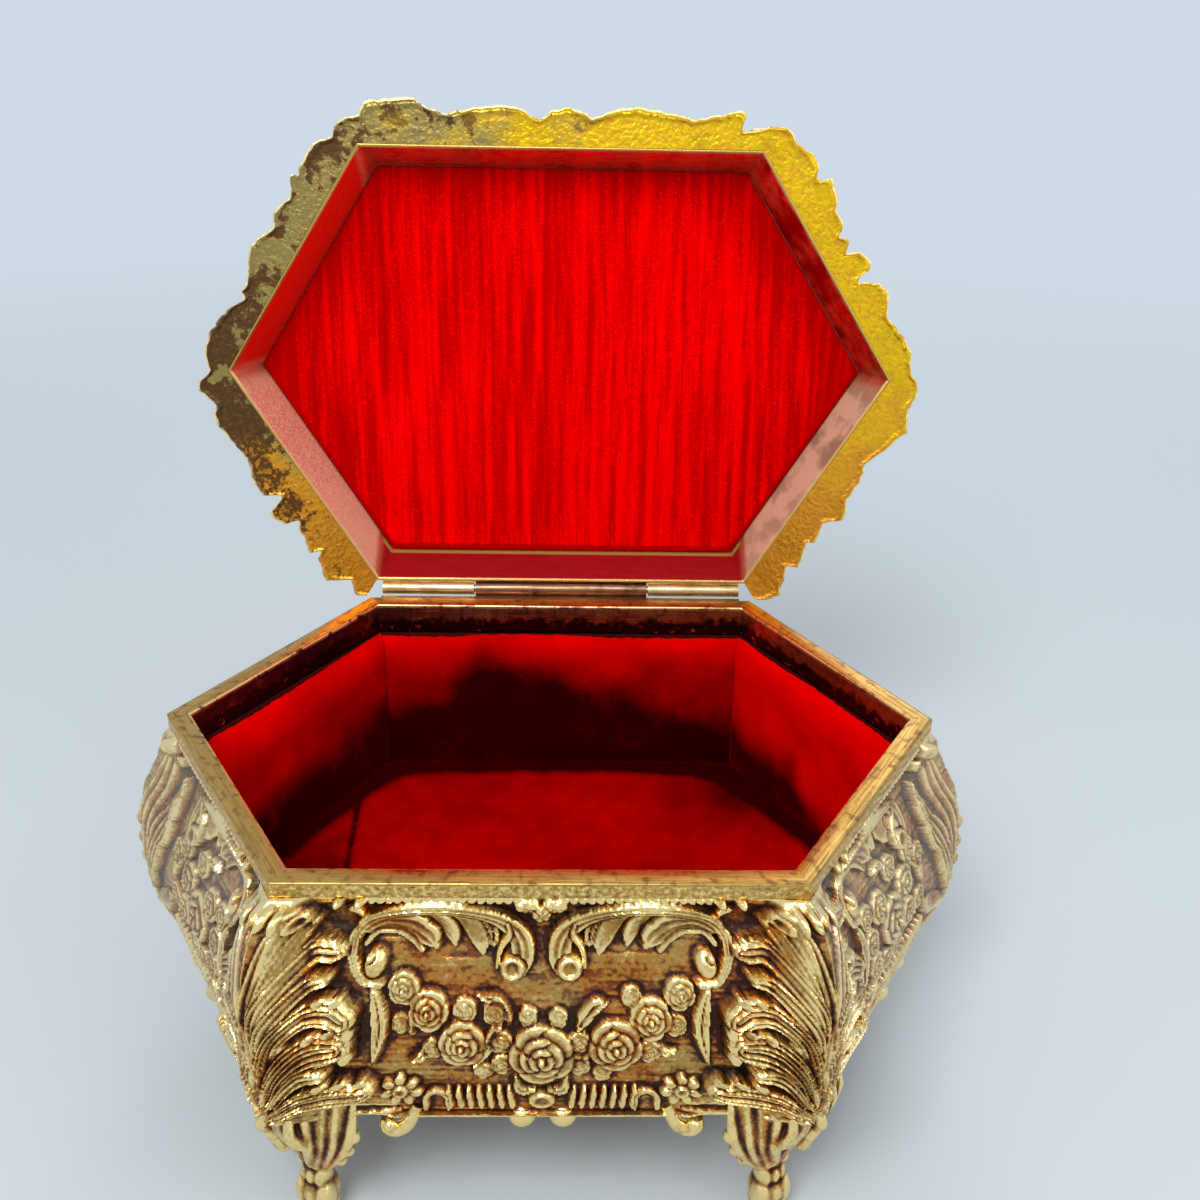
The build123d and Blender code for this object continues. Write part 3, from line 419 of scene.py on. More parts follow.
def carve_acanthus(c):
    """Leaves that fan out of the foot of a corner, the highest first."""
    c.boss(30.2, 5.4, 5.2, 3.2, -0.55, 0, "dome", -0.1, 0.8)
    for high, lift, flutes, places in (
        (1.1, 0.9, 3, [(38.9, 31, 0.9), (38.7, 22, 1.3), (37.6, 13, 1.5), (36.2, 6.2, 1.6),
                       (35.2, 3.6, 1.5)]),
        (1.2, 0.8, 3, [(37.9, 30, 0.7), (37.3, 21, 0.9), (36.0, 12.4, 1.1), (33.9, 7.0, 1.1),
                       (32.4, 5.4, 0.9)]),
        (1.7, 0.7, 4, [(38.2, 27, 0.7), (37.5, 19.0, 1.2), (35.3, 13.8, 1.7), (32.4, 10.6, 2.1),
                       (29.4, 10.3, 2.1), (27.9, 10.2, 1.4)]),
        (1.8, 0.8, 3, [(38.1, 28, 0.7), (37.1, 21.4, 1.0), (34.8, 17.1, 1.3), (32.1, 14.8, 1.3),
                       (29.6, 14.2, 0.9)]),
        (1.9, 0.9, 5, [(37.9, 31, 0.8), (37.1, 26, 1.2), (35.5, 22, 1.5), (32.7, 19.5, 1.9),
                       (29.2, 18.9, 2.3), (27.0, 20.0, 2.0)]),
        (1.6, 0.9, 2, [(37.2, 30, 0.6), (36.3, 26.8, 0.9), (34.9, 23.9, 0.8)]),
        (2.0, 0.9, 7, [(37.6, 34, 1.0), (36.0, 29.6, 1.8), (33.4, 26.3, 2.7), (30.4, 24.5, 3.0),
                       (27.9, 24.0, 2.4)]),
        (1.9, 0.9, 3, [(37.2, 35, 0.7), (34.8, 31.4, 1.1), (32.4, 29.4, 1.4), (30.0, 28.9, 1.0)]),
        (1.9, 0.8, 6, [(37.8, 37.8, 0.9), (34.6, 35.4, 1.8), (30.8, 33.9, 2.4), (27.2, 32.9, 2.4),
                       (24.6, 32.2, 1.7)]),
    ):
        c.stroke(places, high, "plume", lift, flutes)
    for q, w, wide, tall, turn in (
        (28.0, 17.4, 1.2, 0.8, 0.4), (30.6, 17.5, 1.1, 0.7, 0.1), (26.2, 22.0, 0.8, 1.2, 0.2),
        (28.8, 21.9, 1.3, 0.8, 0.3), (31.6, 22.9, 1.2, 0.8, 0.5), (26.6, 26.0, 0.9, 1.2, -0.3),
        (27.8, 30.8, 1.3, 0.8, 0.1), (30.6, 31.4, 1.2, 0.8, 0.3), (25.0, 30.6, 1.1, 0.9, -0.2),
    ):
        c.boss(q, w, wide, tall, 2.1, turn, "petal", 0.9)
    c.stroke([(20.6, 38.1, 0.4), (24, 38.3, 0.75), (28, 38.6, 0.9), (31.4, 39.1, 0.7),
              (33.4, 39.5, 0.3)], -0.9, "bar", -0.1)
    c.boss(34.0, 4.4, 1.5, 1.5, 1.6, 0, "ring", 0.8)
    c.boss(34.0, 4.5, 0.5, 0.5, 0.8, 0, "dome", 0.8)
    c.boss(36.4, 3.2, 0.9, 1.7, 1.6, 0.1, "dome", 0.9)
    c.boss(38.3, 2.8, 0.8, 1.6, 1.4, -0.1, "petal", 1.0)


def carve_corner_stems(c, edge):
    """Parallel stems that climb the ridge of a corner. Edge is the distance from it."""
    from_base = np.arctan2(edge + 1.2, np.maximum(39.5 - c.w, 0.4))
    ridge = 1 - smooth(ridge_width, 5.0, edge)
    c.height += ridge * 0.26 * np.cos(30 * from_base + 0.05 * c.w)
    c.height += ridge * 0.06 * np.cos(95 * from_base + 0.1 * c.w)


def carve_side_corner(c):
    """Leaves of a corner without a foot: a shell at its top and knobs down its edge."""
    c.stroke([(-13.6, 34, 1.0), (-11.6, 27, 2.2), (-9.2, 19, 2.6), (-6.8, 12, 2.0),
              (-6.2, 8, 0.7)], 1.2, "fold", 0.4, flutes=5, lobes=5)
    c.stroke([(-14, 30, 1.2), (-12.8, 20, 1.7), (-11.2, 12, 1.7), (-10.6, 5, 1.2)], 1.0, "fluted",
             0.5, flutes=3)
    c.stroke([(-14, 36.5, 1.0), (-10.4, 34.5, 2.0), (-6.4, 32.5, 1.8), (-3.8, 29.6, 0.5)], 1.4,
             "cup", 0.4)
    c.boss(-11.2, 3.2, 2.0, 1.9, 1.5, 0, "dome", 0.8)
    c.boss(-8.4, 5.4, 1.5, 1.4, 1.3, 0, "shell", 0.6)
    c.row([(-15.6, w) for w in (21.0, 25.0, 29.0, 33.0, 37.0)], 1.9, 1.5, 1.1, lift=0.3)
    c.row([(q, 1.5) for q in np.arange(-8.5, 3.0, 1.25)], 0.75, 0.8, 0.7)
    c.stroke([(2, 39.1, 0.55), (-6, 39.1, 0.55), (-16, 39.1, 0.55)], 0.8, "bar")
    c.row([(2.6 - 1.5 * k, 35.6) for k in range(6)], 0.74, 2.5, 1.0, 0.12, "flute")


def carve_front_flowers(c):
    """Roses and buds across the middle of the front, left and right not quite alike."""
    c.leaves([
        [(-9.4, 28.6, 0.3), (-7.8, 25.5, 1.1), (-6.2, 22.2, 0.9), (-5.6, 20.2, 0.3)],
        [(-8.8, 17.4, 0.3), (-6.4, 18.0, 1.0), (-4.6, 20.2, 0.8), (-4.2, 22.0, 0.2)],
        [(5.0, 22.6, 0.3), (6.0, 20.6, 1.1), (7.8, 18.6, 1.1), (9.4, 18.4, 0.2)],
        [(4.6, 29.6, 0.3), (5.4, 27.4, 1.2), (6.2, 24.8, 1.0), (6.0, 22.6, 0.2)],
        [(-15.6, 24.8, 0.3), (-16.6, 26.6, 0.9), (-18.4, 27.4, 0.3)],
        [(-19.6, 20.2, 0.3), (-18.4, 21.6, 0.8), (-17.6, 23.2, 0.2)],
        [(15.4, 24.6, 0.3), (17.2, 25.8, 0.9), (19.0, 25.6, 0.2)],
    ])
    c.roses([
        (-19.5, 21.6, 1.5, 0.9, 0.3), (-15.2, 25.6, 1.6, 0.9, 0.8), (-6.4, 20.0, 1.9, 1.0, 0.1),
        (-1.8, 20.6, 1.5, 1.0, 0.6), (-5.6, 24.4, 1.8, 1.2, 1.0), (-5.6, 28.3, 1.7, 1.1, 0.2),
        (2.4, 20.8, 1.5, 0.9, 0.9), (5.4, 24.6, 1.8, 1.2, 0.2), (5.4, 28.6, 1.7, 1.1, 0.5),
        (12.6, 17.6, 1.6, 1.0, 0.1), (18.9, 21.8, 1.7, 1.0, 0.7), (15.2, 26.0, 1.8, 1.0, 0.4),
        (-8.2, 29.6, 1.5, 0.9, 0.4), (8.6, 30.0, 1.5, 0.9, 0.9), (-10.6, 19.6, 1.8, 1.1, 0.6),
        (-19.0, 16.4, 2.3, 1.4, 1.1), (-15.6, 19.6, 2.9, 1.6, 0.2), (-11.0, 24.7, 3.4, 1.9, 0.9),
        (19.3, 17.2, 2.3, 1.4, 0.4), (15.2, 20.8, 3.1, 1.7, 1.4), (10.4, 25.0, 3.9, 2.0, 0.3),
        (0.1, 26.6, 4.7, 2.3, 0.55),
    ])
    for side in (-1, 1):
        c.stroke([(side * 1.2, 33.4, 0.5), (side * 3.0, 33.2, 0.9), (side * 3.6, 30.8, 0.4)], 0.9,
                 "leaf", flutes=0)
        c.boss(side * 1.9, 2.6, 1.9, 1.5, 1.1, 0, "shell")
    c.boss(0, 4.3, 1.5, 2.0, 1.4, 0, "shell")
    c.boss(0, 35.4, 2.2, 1.8, 1.2, 0, "ring")


def carve_side_flowers(c):
    """Close-set small flowers across the middle of a slanted wall."""
    c.leaves([
        [(19.4, 30.6, 0.3), (16.8, 29.2, 1.1), (14.4, 29.6, 0.3)],
        [(5.2, 31.0, 0.3), (7.6, 30.2, 1.1), (9.4, 31.4, 0.3)],
        [(0.6, 19.4, 0.3), (-1.4, 21.2, 1.1), (-2.0, 24.2, 0.3)],
        [(14.4, 13.2, 0.3), (12.4, 12.6, 1.0), (10.2, 13.6, 0.3)],
    ])
    c.roses([
        (19.2, 17.6, 2.1, 1.4, 0.3), (8.6, 15.4, 2.2, 1.3, 0.9), (1.2, 16.8, 2.3, 1.4, 0.1),
        (18.6, 22.4, 2.4, 1.5, 1.0), (-2.4, 19.4, 2.0, 1.3, 0.5), (14.6, 18.6, 2.6, 1.6, 0.7),
        (4.4, 20.6, 2.9, 1.7, 1.3), (17.4, 27.2, 2.2, 1.4, 0.2), (3.4, 26.8, 2.6, 1.5, 0.8),
        (-1.6, 27.4, 2.2, 1.3, 0.4), (10.2, 23.6, 4.0, 2.1, 0.4), (12.8, 29.6, 2.2, 1.3, 1.2),
        (7.8, 30.4, 2.0, 1.2, 0.0),
    ])


# ------------------------------------------------------------------ mesh making


def deselect():
    bpy.ops.object.select_all(action="DESELECT")


def only(piece):
    deselect()
    piece.select_set(True)
    bpy.context.view_layer.objects.active = piece


def edit(piece, *steps):
    """Runs edit-mode steps on all of a piece."""
    only(piece)
    bpy.ops.object.mode_set(mode="EDIT")
    bpy.ops.mesh.select_all(action="SELECT")
    for step in steps:
        step()
    bpy.ops.object.mode_set(mode="OBJECT")


def merge():
    bpy.ops.mesh.remove_doubles(threshold=weld_gap)


def close_ends():
    bpy.ops.mesh.fill_holes(sides=0)
    bpy.ops.mesh.select_all(action="SELECT")


def face_out():
    bpy.ops.mesh.normals_make_consistent(inside=False)


def named(name):
    piece = bpy.context.object
    piece.name = name
    piece.data.name = name
    return piece


def read(items, key, columns=3, kind=float):
    """One property of all items, a row for each."""
    values = np.zeros(len(items) * columns, kind)
    items.foreach_get(key, values)
    return values.reshape(-1, columns)


def put(piece, points):
    piece.data.vertices.foreach_set("co", points.astype(np.float32).ravel())


def coordinates(piece):
    """All points of a piece in millimetres, as three rows."""
    return read(piece.data.vertices, "co").T / MM


def store(piece, name, values, kind="FLOAT", key="value"):
    attribute = piece.data.attributes.new(name, kind, "POINT")
    attribute.data.foreach_set(key, values.astype(np.float32).ravel())


def wrapped_bar(name, points, **kept):
    """A grid primitive bent round a closed section, with both ends closed."""
    rows, columns = points.shape[:2]
    deselect()
    bpy.ops.mesh.primitive_grid_add(x_subdivisions=columns - 1, y_subdivisions=rows, size=1)
    piece = named(name)
    place = np.concatenate([points, points[:1]])
    put(piece, place)
    for key, values in kept.items():
        store(piece, key, np.concatenate([values, values[:1]]))
    edit(piece, merge, close_ends, face_out)
    return piece


def closed_ring(name, points):
    """A torus primitive shaped into a ring. Points go round the ring, then round its section."""
    around, section = points.shape[:2]
    deselect()
    bpy.ops.mesh.primitive_torus_add(major_segments=around, minor_segments=section)
    piece = named(name)
    put(piece, points)
    edit(piece, face_out)
    return piece


def shaped_ball(name, around, rings, points):
    """A ball primitive whose rings of points go to the places given for them."""
    deselect()
    bpy.ops.mesh.primitive_uv_sphere_add(segments=around, ring_count=rings)
    piece = named(name)
    co = read(piece.data.vertices, "co")
    down = np.arccos(np.clip(co[:, 2] / np.linalg.norm(co, axis=1), -1, 1)) / pi
    row = np.rint(down * rings).astype(int)
    column = np.rint(np.arctan2(co[:, 1], co[:, 0]) / (2 * pi) * around).astype(int) % around
    put(piece, points[row, column])
    edit(piece, face_out)
    return piece


def store_wear(piece, fine=0.09, broad=0.35):
    """Keeps, for each point, how far it stands out of what is round it: hollow 0, proud 1."""
    start = read(piece.data.vertices, "co") / MM
    normal = read(piece.data.vertices, "normal")
    a, b = read(piece.data.edges, "vertices", 2, int).T
    count = len(start)
    links = np.maximum(np.bincount(a, minlength=count) + np.bincount(b, minlength=count), 1)
    place = start.copy()
    wear = np.zeros(count)
    for rounds, scale in zip(wear_rounds, (fine, broad)):
        for _ in range(rounds):
            place = np.stack([
                (np.bincount(a, place[b, k], count) + np.bincount(b, place[a, k], count)) / links
                for k in range(3)
            ], -1)
        wear += ((start - place) * normal).sum(1) / scale
    store(piece, "wear", np.clip(0.5 + 0.28 * wear, 0, 1))


def join(piece, *others):
    deselect()
    for other in others:
        other.select_set(True)
    piece.select_set(True)
    bpy.context.view_layer.objects.active = piece
    bpy.ops.object.join()
    return piece


def tube(places, round_by=8):
    """A round bar along a smooth line. Places are (point in metres, radius in metres)."""
    deselect()
    bpy.ops.curve.primitive_bezier_curve_add()
    curve = bpy.context.object
    curve.data.splines.clear()
    spline = curve.data.splines.new("NURBS")
    spline.points.add(len(places) - 1)
    for knot, (point, radius) in zip(spline.points, places):
        knot.co = (*point, 1)
        knot.radius = radius
    spline.use_endpoint_u = True
    spline.order_u = 3
    spline.resolution_u = 6
    curve.data.bevel_depth = 1.0
    curve.data.bevel_resolution = round_by // 2 - 2
    curve.data.use_fill_caps = True
    only(curve)
    bpy.ops.object.convert(target="MESH")
    return bpy.context.object


def ball(point, sizes, turn=0.0):
    """An oval lump, turned about the upright."""
    deselect()
    bpy.ops.mesh.primitive_uv_sphere_add(segments=24, ring_count=16, radius=1)
    lump = bpy.context.object
    lump.data.transform(
        Matrix.Translation(point) @ Matrix.Rotation(turn, 4, "Z") @ Matrix.Diagonal((*sizes, 1))
    )
    return lump


def finish_piece(piece, angle, body, slot, material, *nodes):
    """Smooths a piece up to an angle, and says what it looks like and stands for."""
    only(piece)
    bpy.ops.object.shade_smooth_by_angle(angle=radians(angle))
    piece.data.materials.clear()
    piece.data.materials.append(material)
    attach(piece, body)
    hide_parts(*nodes)


# ------------------------------------------------------------------ materials

groups = {}
materials = {}
cool_tint, warm_tint = (0.98, 1.0, 1.12, 1), (1.12, 0.66, 0.42, 1)


class Value:
    """What an output of a shader node gives. Sums and products of values make math nodes."""

    def __init__(self, made, output=0):
        self.socket, self.tree = made.outputs[output], made.id_data

    def math(self, operation, other=0.0):
        return Value(node(self.tree, "Math", {0: self, 1: other}, operation=operation))

    def __add__(self, other):
        return self.math("ADD", other)

    def __mul__(self, other):
        return self.math("MULTIPLY", other)

    def ranged(self, low, high, to_low=0.0, to_high=1.0):
        return Value(node(self.tree, "MapRange", {
            "Value": self, "From Min": low, "From Max": high, "To Min": to_low, "To Max": to_high,
        }, interpolation_type="SMOOTHSTEP"))

    def noise(self, scale, detail=4.0, roughness=0.55):
        return Value(node(self.tree, "TexNoise", {
            "Vector": self, "Scale": scale, "Detail": detail, "Roughness": roughness,
        }))

    def mixed(self, first, second):
        """First where this value is 0, second where it is 1."""
        return mixed(self.tree, self, first, second)

    def part(self, axis):
        return Value(node(self.tree, "SeparateXYZ", {"Vector": self}), axis)

    def stretched(self, factors):
        return Value(node(self.tree, "VectorMath", {0: self, 1: factors}, operation="MULTIPLY"))

    def bump(self, distance, strength):
        return Value(node(self.tree, "Bump", {
            "Height": self, "Strength": strength, "Distance": distance,
        }))


def feed(made, inputs):
    """Links or sets the inputs of a node."""
    for key, value in inputs.items():
        if isinstance(value, Value):
            value.tree.links.new(value.socket, made.inputs[key])
        else:
            made.inputs[key].default_value = value


def node(tree, kind, inputs=None, **settings):
    made = tree.nodes.new("ShaderNode" + kind)
    for key, value in settings.items():
        setattr(made, key, value)
    feed(made, inputs or {})
    return made


def mixed(tree, share, first, second, blend="MIX"):
    inputs = {"Fac": share, "Color1": first, "Color2": second}
    return Value(node(tree, "MixRGB", inputs, blend_type=blend))


def object_place(tree):
    return Value(node(tree, "TexCoord"), "Object")


def attribute(tree, name, output="Fac"):
    return Value(node(tree, "Attribute", attribute_name=name), output)


def new_group(name, vectors, numbers, colours, outputs):
    """An empty node group, its inputs by name, and the node that takes its outputs."""
    group = bpy.data.node_groups.new(name, "ShaderNodeTree")
    for kind, sockets in (("Vector", vectors), ("Float", numbers), ("Color", colours)):
        for socket in sockets:
            group.interface.new_socket(socket, in_out="INPUT", socket_type="NodeSocket" + kind)
    for socket in outputs:
        kind = "NodeSocketColor" if socket == "Color" else "NodeSocketFloat"
        group.interface.new_socket(socket, in_out="OUTPUT", socket_type=kind)
    source = group.nodes.new("NodeGroupInput")
    given = {socket: Value(source, socket) for socket in vectors + numbers + colours}
    return group, given, group.nodes.new("NodeGroupOutput")


def effect(tree, name, inputs):
    """Places a shared node group and gives its outputs by name."""
    made = node(tree, "Group", inputs, node_tree=groups[name])
    return {socket.name: Value(made, socket.name) for socket in made.outputs}


def patina_group():
    """Worn gilding: dark in the hollows, bright on the heights, with patches of tarnish."""
    group, given, out = new_group(
        "patina", ["Vector"], ["Wear", "Patch Scale", "Grain Scale"],
        ["Deep", "Brown", "Gold", "Bright"], ["Color", "Roughness", "Metallic", "Height"],
    )
    vector = given["Vector"]
    grain = vector.noise(given["Grain Scale"], 3)
    level = given["Wear"] + vector.noise(given["Patch Scale"], 5).ranged(0.3, 0.7, -0.16, 0.14)
    level = level + grain.ranged(0.25, 0.75, -0.14, 0.12)
    colour = level.ranged(0.04, 0.26).mixed(given["Deep"], given["Brown"])
    colour = level.ranged(0.26, 0.5).mixed(colour, given["Gold"])
    colour = level.ranged(0.56, 1.02).mixed(colour, given["Bright"])
    warm = vector.noise(95.0, 4, 0.6).ranged(0.6, 0.4) * level.ranged(0.8, 0.45)
    feed(out, {
        "Color": mixed(group, 0.85, colour, warm.mixed(cool_tint, warm_tint), "MULTIPLY"),
        "Roughness": level.ranged(0.2, 0.7, 0.5, 0.24),
        "Metallic": level.ranged(0.12, 0.4, 0.7, 1.0),
        "Height": grain,
    })
    return group


def brushed_group():
    """Fine scratches drawn out along the first coordinate, over blotchy lacquer."""
    group, given, out = new_group(
        "brushed", ["Vector", "Stretch"], ["Blotch Scale", "Amount"],
        ["Metal", "Streak", "Blotch"], ["Color", "Roughness", "Height"],
    )
    vector = given["Vector"]
    streak = vector.stretched(given["Stretch"]).noise(1.0, 6, 0.7)
    colour = streak.ranged(0.42, 0.66).mixed(given["Metal"], given["Streak"])
    share = vector.noise(given["Blotch Scale"], 5, 0.6).ranged(0.5, 0.66) * given["Amount"]
    feed(out, {
        "Color": share.mixed(colour, given["Blotch"]),
        "Roughness": streak.ranged(0.3, 0.7, 0.22, 0.42),
        "Height": streak,
    })
    return group


def velvet_group():
    """Short pile: light and dark where it lies differently, fine tufts, and painted shade."""
    group, given, out = new_group(
        "velvet", ["Vector", "Stretch"], ["Tuft Scale", "Contrast", "Painted Shade"],
        ["Pile", "Shade"], ["Color", "Height"],
    )
    nap = given["Vector"].stretched(given["Stretch"]).noise(1.0, 3, 0.6)
    both = nap * 0.6 + given["Vector"].noise(given["Tuft Scale"], 3, 0.6) * 0.4
    # the last number input adds painted shade, given for each point, to the pile's own streaks
    share = both.ranged(0.38, 0.62) * given["Contrast"] + given["Painted Shade"]
    share = Value(node(group, "Clamp", {"Value": share}))
    feed(out, {"Color": share.mixed(given["Pile"], given["Shade"]), "Height": both})
    return group


def new_material(name):
    material = bpy.data.materials.new(name)
    material.use_nodes = True
    tree = material.node_tree
    return material, tree, tree.nodes["Principled BSDF"]


def carved_gilt(name, ink, patch=260.0, grain=1600.0, pale=0.0):
    material, tree, shader = new_material(name)
    patina = effect(tree, "patina", {
        "Vector": object_place(tree), "Wear": attribute(tree, "wear"),
        "Patch Scale": patch, "Grain Scale": grain, "Deep": ink.deep_patina,
        "Brown": ink.brown_patina, "Gold": ink.antique_gold, "Bright": ink.worn_gold,
    })
    feed(shader, {
        # pale mixes in a paler, greyer colour: painted light and backdrop reflection on the slanted
        # walls
        "Base Color": mixed(tree, pale, patina["Color"], ink.side_painted_sheen),
        "Roughness": patina["Roughness"],
        "Metallic": patina["Metallic"],
        "Normal": patina["Height"].bump(0.0002, 0.5),
    })
    return material


def brushed(tree, place, stretch, scale, metal, streak, blotch, amount):
    return effect(tree, "brushed", {
        "Vector": place, "Stretch": stretch, "Blotch Scale": scale, "Metal": metal,
        "Streak": streak, "Blotch": blotch, "Amount": amount,
    })


def brushed_gilt(name, *looks):
    material, tree, shader = new_material(name)
    metal = brushed(tree, object_place(tree), *looks)
    feed(shader, {
        "Base Color": metal["Color"],
        "Roughness": metal["Roughness"],
        "Metallic": 1.0,
        "Normal": metal["Height"].bump(0.00004, 0.5),
    })
    return material


def velvet(name, pile, shade, stretch, contrast):
    material, tree, shader = new_material(name)
    cloth = effect(tree, "velvet", {
        "Vector": object_place(tree), "Stretch": stretch, "Tuft Scale": 2400.0, "Pile": pile,
        # the share stored for each point is painted shade on the velvet
        "Shade": shade, "Contrast": contrast, "Painted Shade": attribute(tree, "nap"),
    })
    feed(shader, {
        "Base Color": cloth["Color"],
        "Roughness": 0.95,
        "Specular IOR Level": 0.0,
        "Sheen Weight": 0.3,
        "Sheen Roughness": 0.4,
        "Sheen Tint": (0.9, 0.0, 0.0, 1.0),
        "Normal": cloth["Height"].bump(0.0003, 0.7),
    })
    return material


def tarnished_gilt(name, ink):
    """Underside of the lid's border: bright and pebbled on the right, dull on the left."""
    material, tree, shader = new_material(name)
    place = object_place(tree)
    across, upward, span = place.part("X"), place.part("Z"), attribute(tree, "span")
    patch = place.noise(110.0, 6, 0.6)
    spots = place.noise(230.0, 7, 0.62)
    flecks = place.noise(1500.0, 3, 0.6)
    pebbles = place.noise(1150.0, 2, 0.5)
    drift = across + patch.ranged(0.2, 0.8, -0.02, 0.02)
    rise = upward + patch.ranged(0.2, 0.8, 0.014, -0.014)
    colour = rise.ranged(0.08, 0.11, 1.0, 0.0).mixed(ink.border_gold, ink.border_orange)
    dull = drift.ranged(-0.03, 0.004, 1.0, 0.0) * rise.ranged(0.084, 0.1)
    colour = dull.mixed(colour, ink.border_dull)
    corner = across.ranged(-0.048, -0.060) * upward.ranged(0.128, 0.112)
    stained = spots + span.ranged(0.3, 1.0, 0.0, 0.07) + corner * 0.16
    stain = stained.ranged(0.56, 0.61) * drift.ranged(-0.03, 0.012, 0.92, 0.16)
    colour = stain.mixed(colour, ink.border_stain)
    speck = flecks.ranged(0.62, 0.68) * drift.ranged(-0.03, 0.02, 0.8, 0.35)
    colour = speck.mixed(colour, ink.brown_patina)
    pits = pebbles.ranged(0.38, 0.5, 0.6, 0.0) * dull.ranged(0.0, 1.0, 1.0, 0.1)
    colour = pits.mixed(colour, ink.border_orange)
    # Painted highlight: a broken bright gold line along the border's rounded outer edge
    edge = span.ranged(0.93, 0.955) * spots.ranged(0.4, 0.5)
    feed(shader, {
        "Base Color": edge.mixed(colour, ink.worn_gold),
        "Roughness": spots.ranged(0.3, 0.7, 0.3, 0.55),
        "Metallic": 1.0,
        "Normal": pebbles.bump(0.00035, 0.6),
    })
    return material


def hollow_gilt(name, ink):
    """Walls of the lid's hollow: polished above, sandy with rubbed-off pile by the hinge; painted
    pile reflections.
    """
    material, tree, shader = new_material(name)
    run, place = attribute(tree, "run", "Vector"), object_place(tree)
    bright = brushed(tree, run, (160.0, 900.0, 1.0), 260.0, ink.hollow_gold, ink.rim_gold,
                     ink.rim_streak, 0.5)
    across, upward, depth = place.part("X"), place.part("Z"), run.part("Y")
    level = hinge_z * MM
    beyond = across.math("ABSOLUTE")
    beside = upward.ranged(level + 0.043, level + 0.037) * beyond.ranged(0.0355, 0.0375)
    grain = place.noise(2600.0, 4, 0.7)
    patch = place.noise(160.0, 4, 0.6)
    left = grain.ranged(0.42, 0.62).mixed(ink.hollow_rose, ink.hollow_sand)
    right = patch.ranged(0.4, 0.6).mixed(ink.skirt_brown, ink.hollow_sand)
    sandy = across.ranged(-0.001, 0.001).mixed(left, right)
    lower = upward.ranged(level + 0.004, level + 0.032, 1.0, 0.0)
    sandy = (lower * 0.5).mixed(sandy, ink.hollow_sand)
    colour = beside.mixed(bright["Color"], sandy)
    aside = beyond.ranged(0.0350, 0.0370)
    upper = upward.ranged(level + 0.040, level + 0.044) * aside
    # Painted reflection of the red pile on the upper left wall
    left_red = across.ranged(0.001, -0.001) * upper
    colour = left_red.mixed(colour, ink.hollow_red)
    # Patches of darker painted reflection of the pile on the upper right wall
    dulled = across.ranged(-0.001, 0.001) * upper
    colour = (patch.ranged(0.62, 0.36) * dulled).mixed(colour, ink.hollow_wine)
    # Darker painted reflection of the pile on the bottom wall, by the hinge
    beneath = upward.ranged(level + 0.014, level + 0.012) * aside.ranged(1.0, 0.0)
    colour = beneath.mixed(colour, ink.hollow_wine)
    bead = depth.ranged(0.0077, 0.0079) * beneath
    colour = bead.mixed(colour, ink.antique_gold)
    lip = depth.ranged(0.0009, 0.0007)
    # Less metal where reflections are painted and where the walls are sandy, so that the painted
    # colour shows
    matt = beside.math("MAXIMUM", left_red * 0.9).math("MAXIMUM", beneath * 0.8)
    matt = matt * lip.ranged(1.0, 0.0)
    feed(shader, {
        "Base Color": lip.mixed(colour, ink.rim_gold),
        "Roughness": beside.mixed(bright["Roughness"], (0.6, 0.6, 0.6, 1)),
        "Metallic": matt.ranged(0.0, 1.0, 1.0, 0.35),
        "Normal": grain.bump(0.00008, 0.5),
    })
    return material


def rim_gilt(name, ink):
    """Rim: brushed yellow strip above; scratched inner skirt with painted shade and glints below.
    """
    material, tree, shader = new_material(name)
    place = attribute(tree, "run", "Vector")
    strip = brushed(tree, place, (90.0, 2600.0, 1.0), 520.0, ink.rim_gold, ink.rim_streak,
                    ink.brown_patina, 0.8)
    skirt = brushed(tree, place, (1500.0, 160.0, 1.0), 200.0, ink.skirt_brown,
                    ink.brown_patina, ink.rim_gold, 0.8)
    along, across = place.part("X"), place.part("Y")
    ragged = place.noise(420.0, 5, 0.65)
    patch = place.noise(190.0, 4, 0.6)
    grains = place.noise(1300.0, 3, 0.6)
    bared = along.ranged(0.210, 0.190) * along.ranged(0.118, 0.126) * patch.ranged(0.38, 0.52)
    lacquer = bared.mixed(skirt["Color"], strip["Color"])
    stained = along.ranged(0.236, 0.250) * patch.ranged(0.7, 0.5)
    lacquer = stained.mixed(lacquer, ink.violet_tarnish)
    edge = across.ranged(0.0042, 0.0038) * ragged.ranged(0.4, 0.5)
    lacquer = edge.mixed(lacquer, ink.worn_gold)
    # Painted shade: the skirt's lower part turns nearly black, for the dark inside of the body
    down = across + ragged.ranged(0.2, 0.8, -0.0016, 0.0016)
    lower = down.ranged(0.0058, 0.0072).mixed(lacquer, ink.deep_patina)
    # Painted glints: pale specks along the skirt's lower edge
    glint = ragged.ranged(0.6, 0.66) * across.ranged(0.0066, 0.008)
    lower = glint.mixed(lower, ink.hollow_sand)
    colour = across.ranged(0.0030, 0.0034).mixed(strip["Color"], lower)
    beaded = grains.ranged(0.42, 0.68).mixed(ink.antique_gold, ink.worn_gold)
    beaded = grains.ranged(0.4, 0.3).mixed(beaded, ink.brown_patina)
    outside = across.ranged(0.0148, 0.0152)
    feed(shader, {
        "Base Color": outside.mixed(colour, beaded),
        "Roughness": strip["Roughness"],
        "Metallic": 1.0,
        "Normal": outside.mixed(strip["Height"] * 0.15, grains).bump(0.0003, 0.6),
    })
    return material


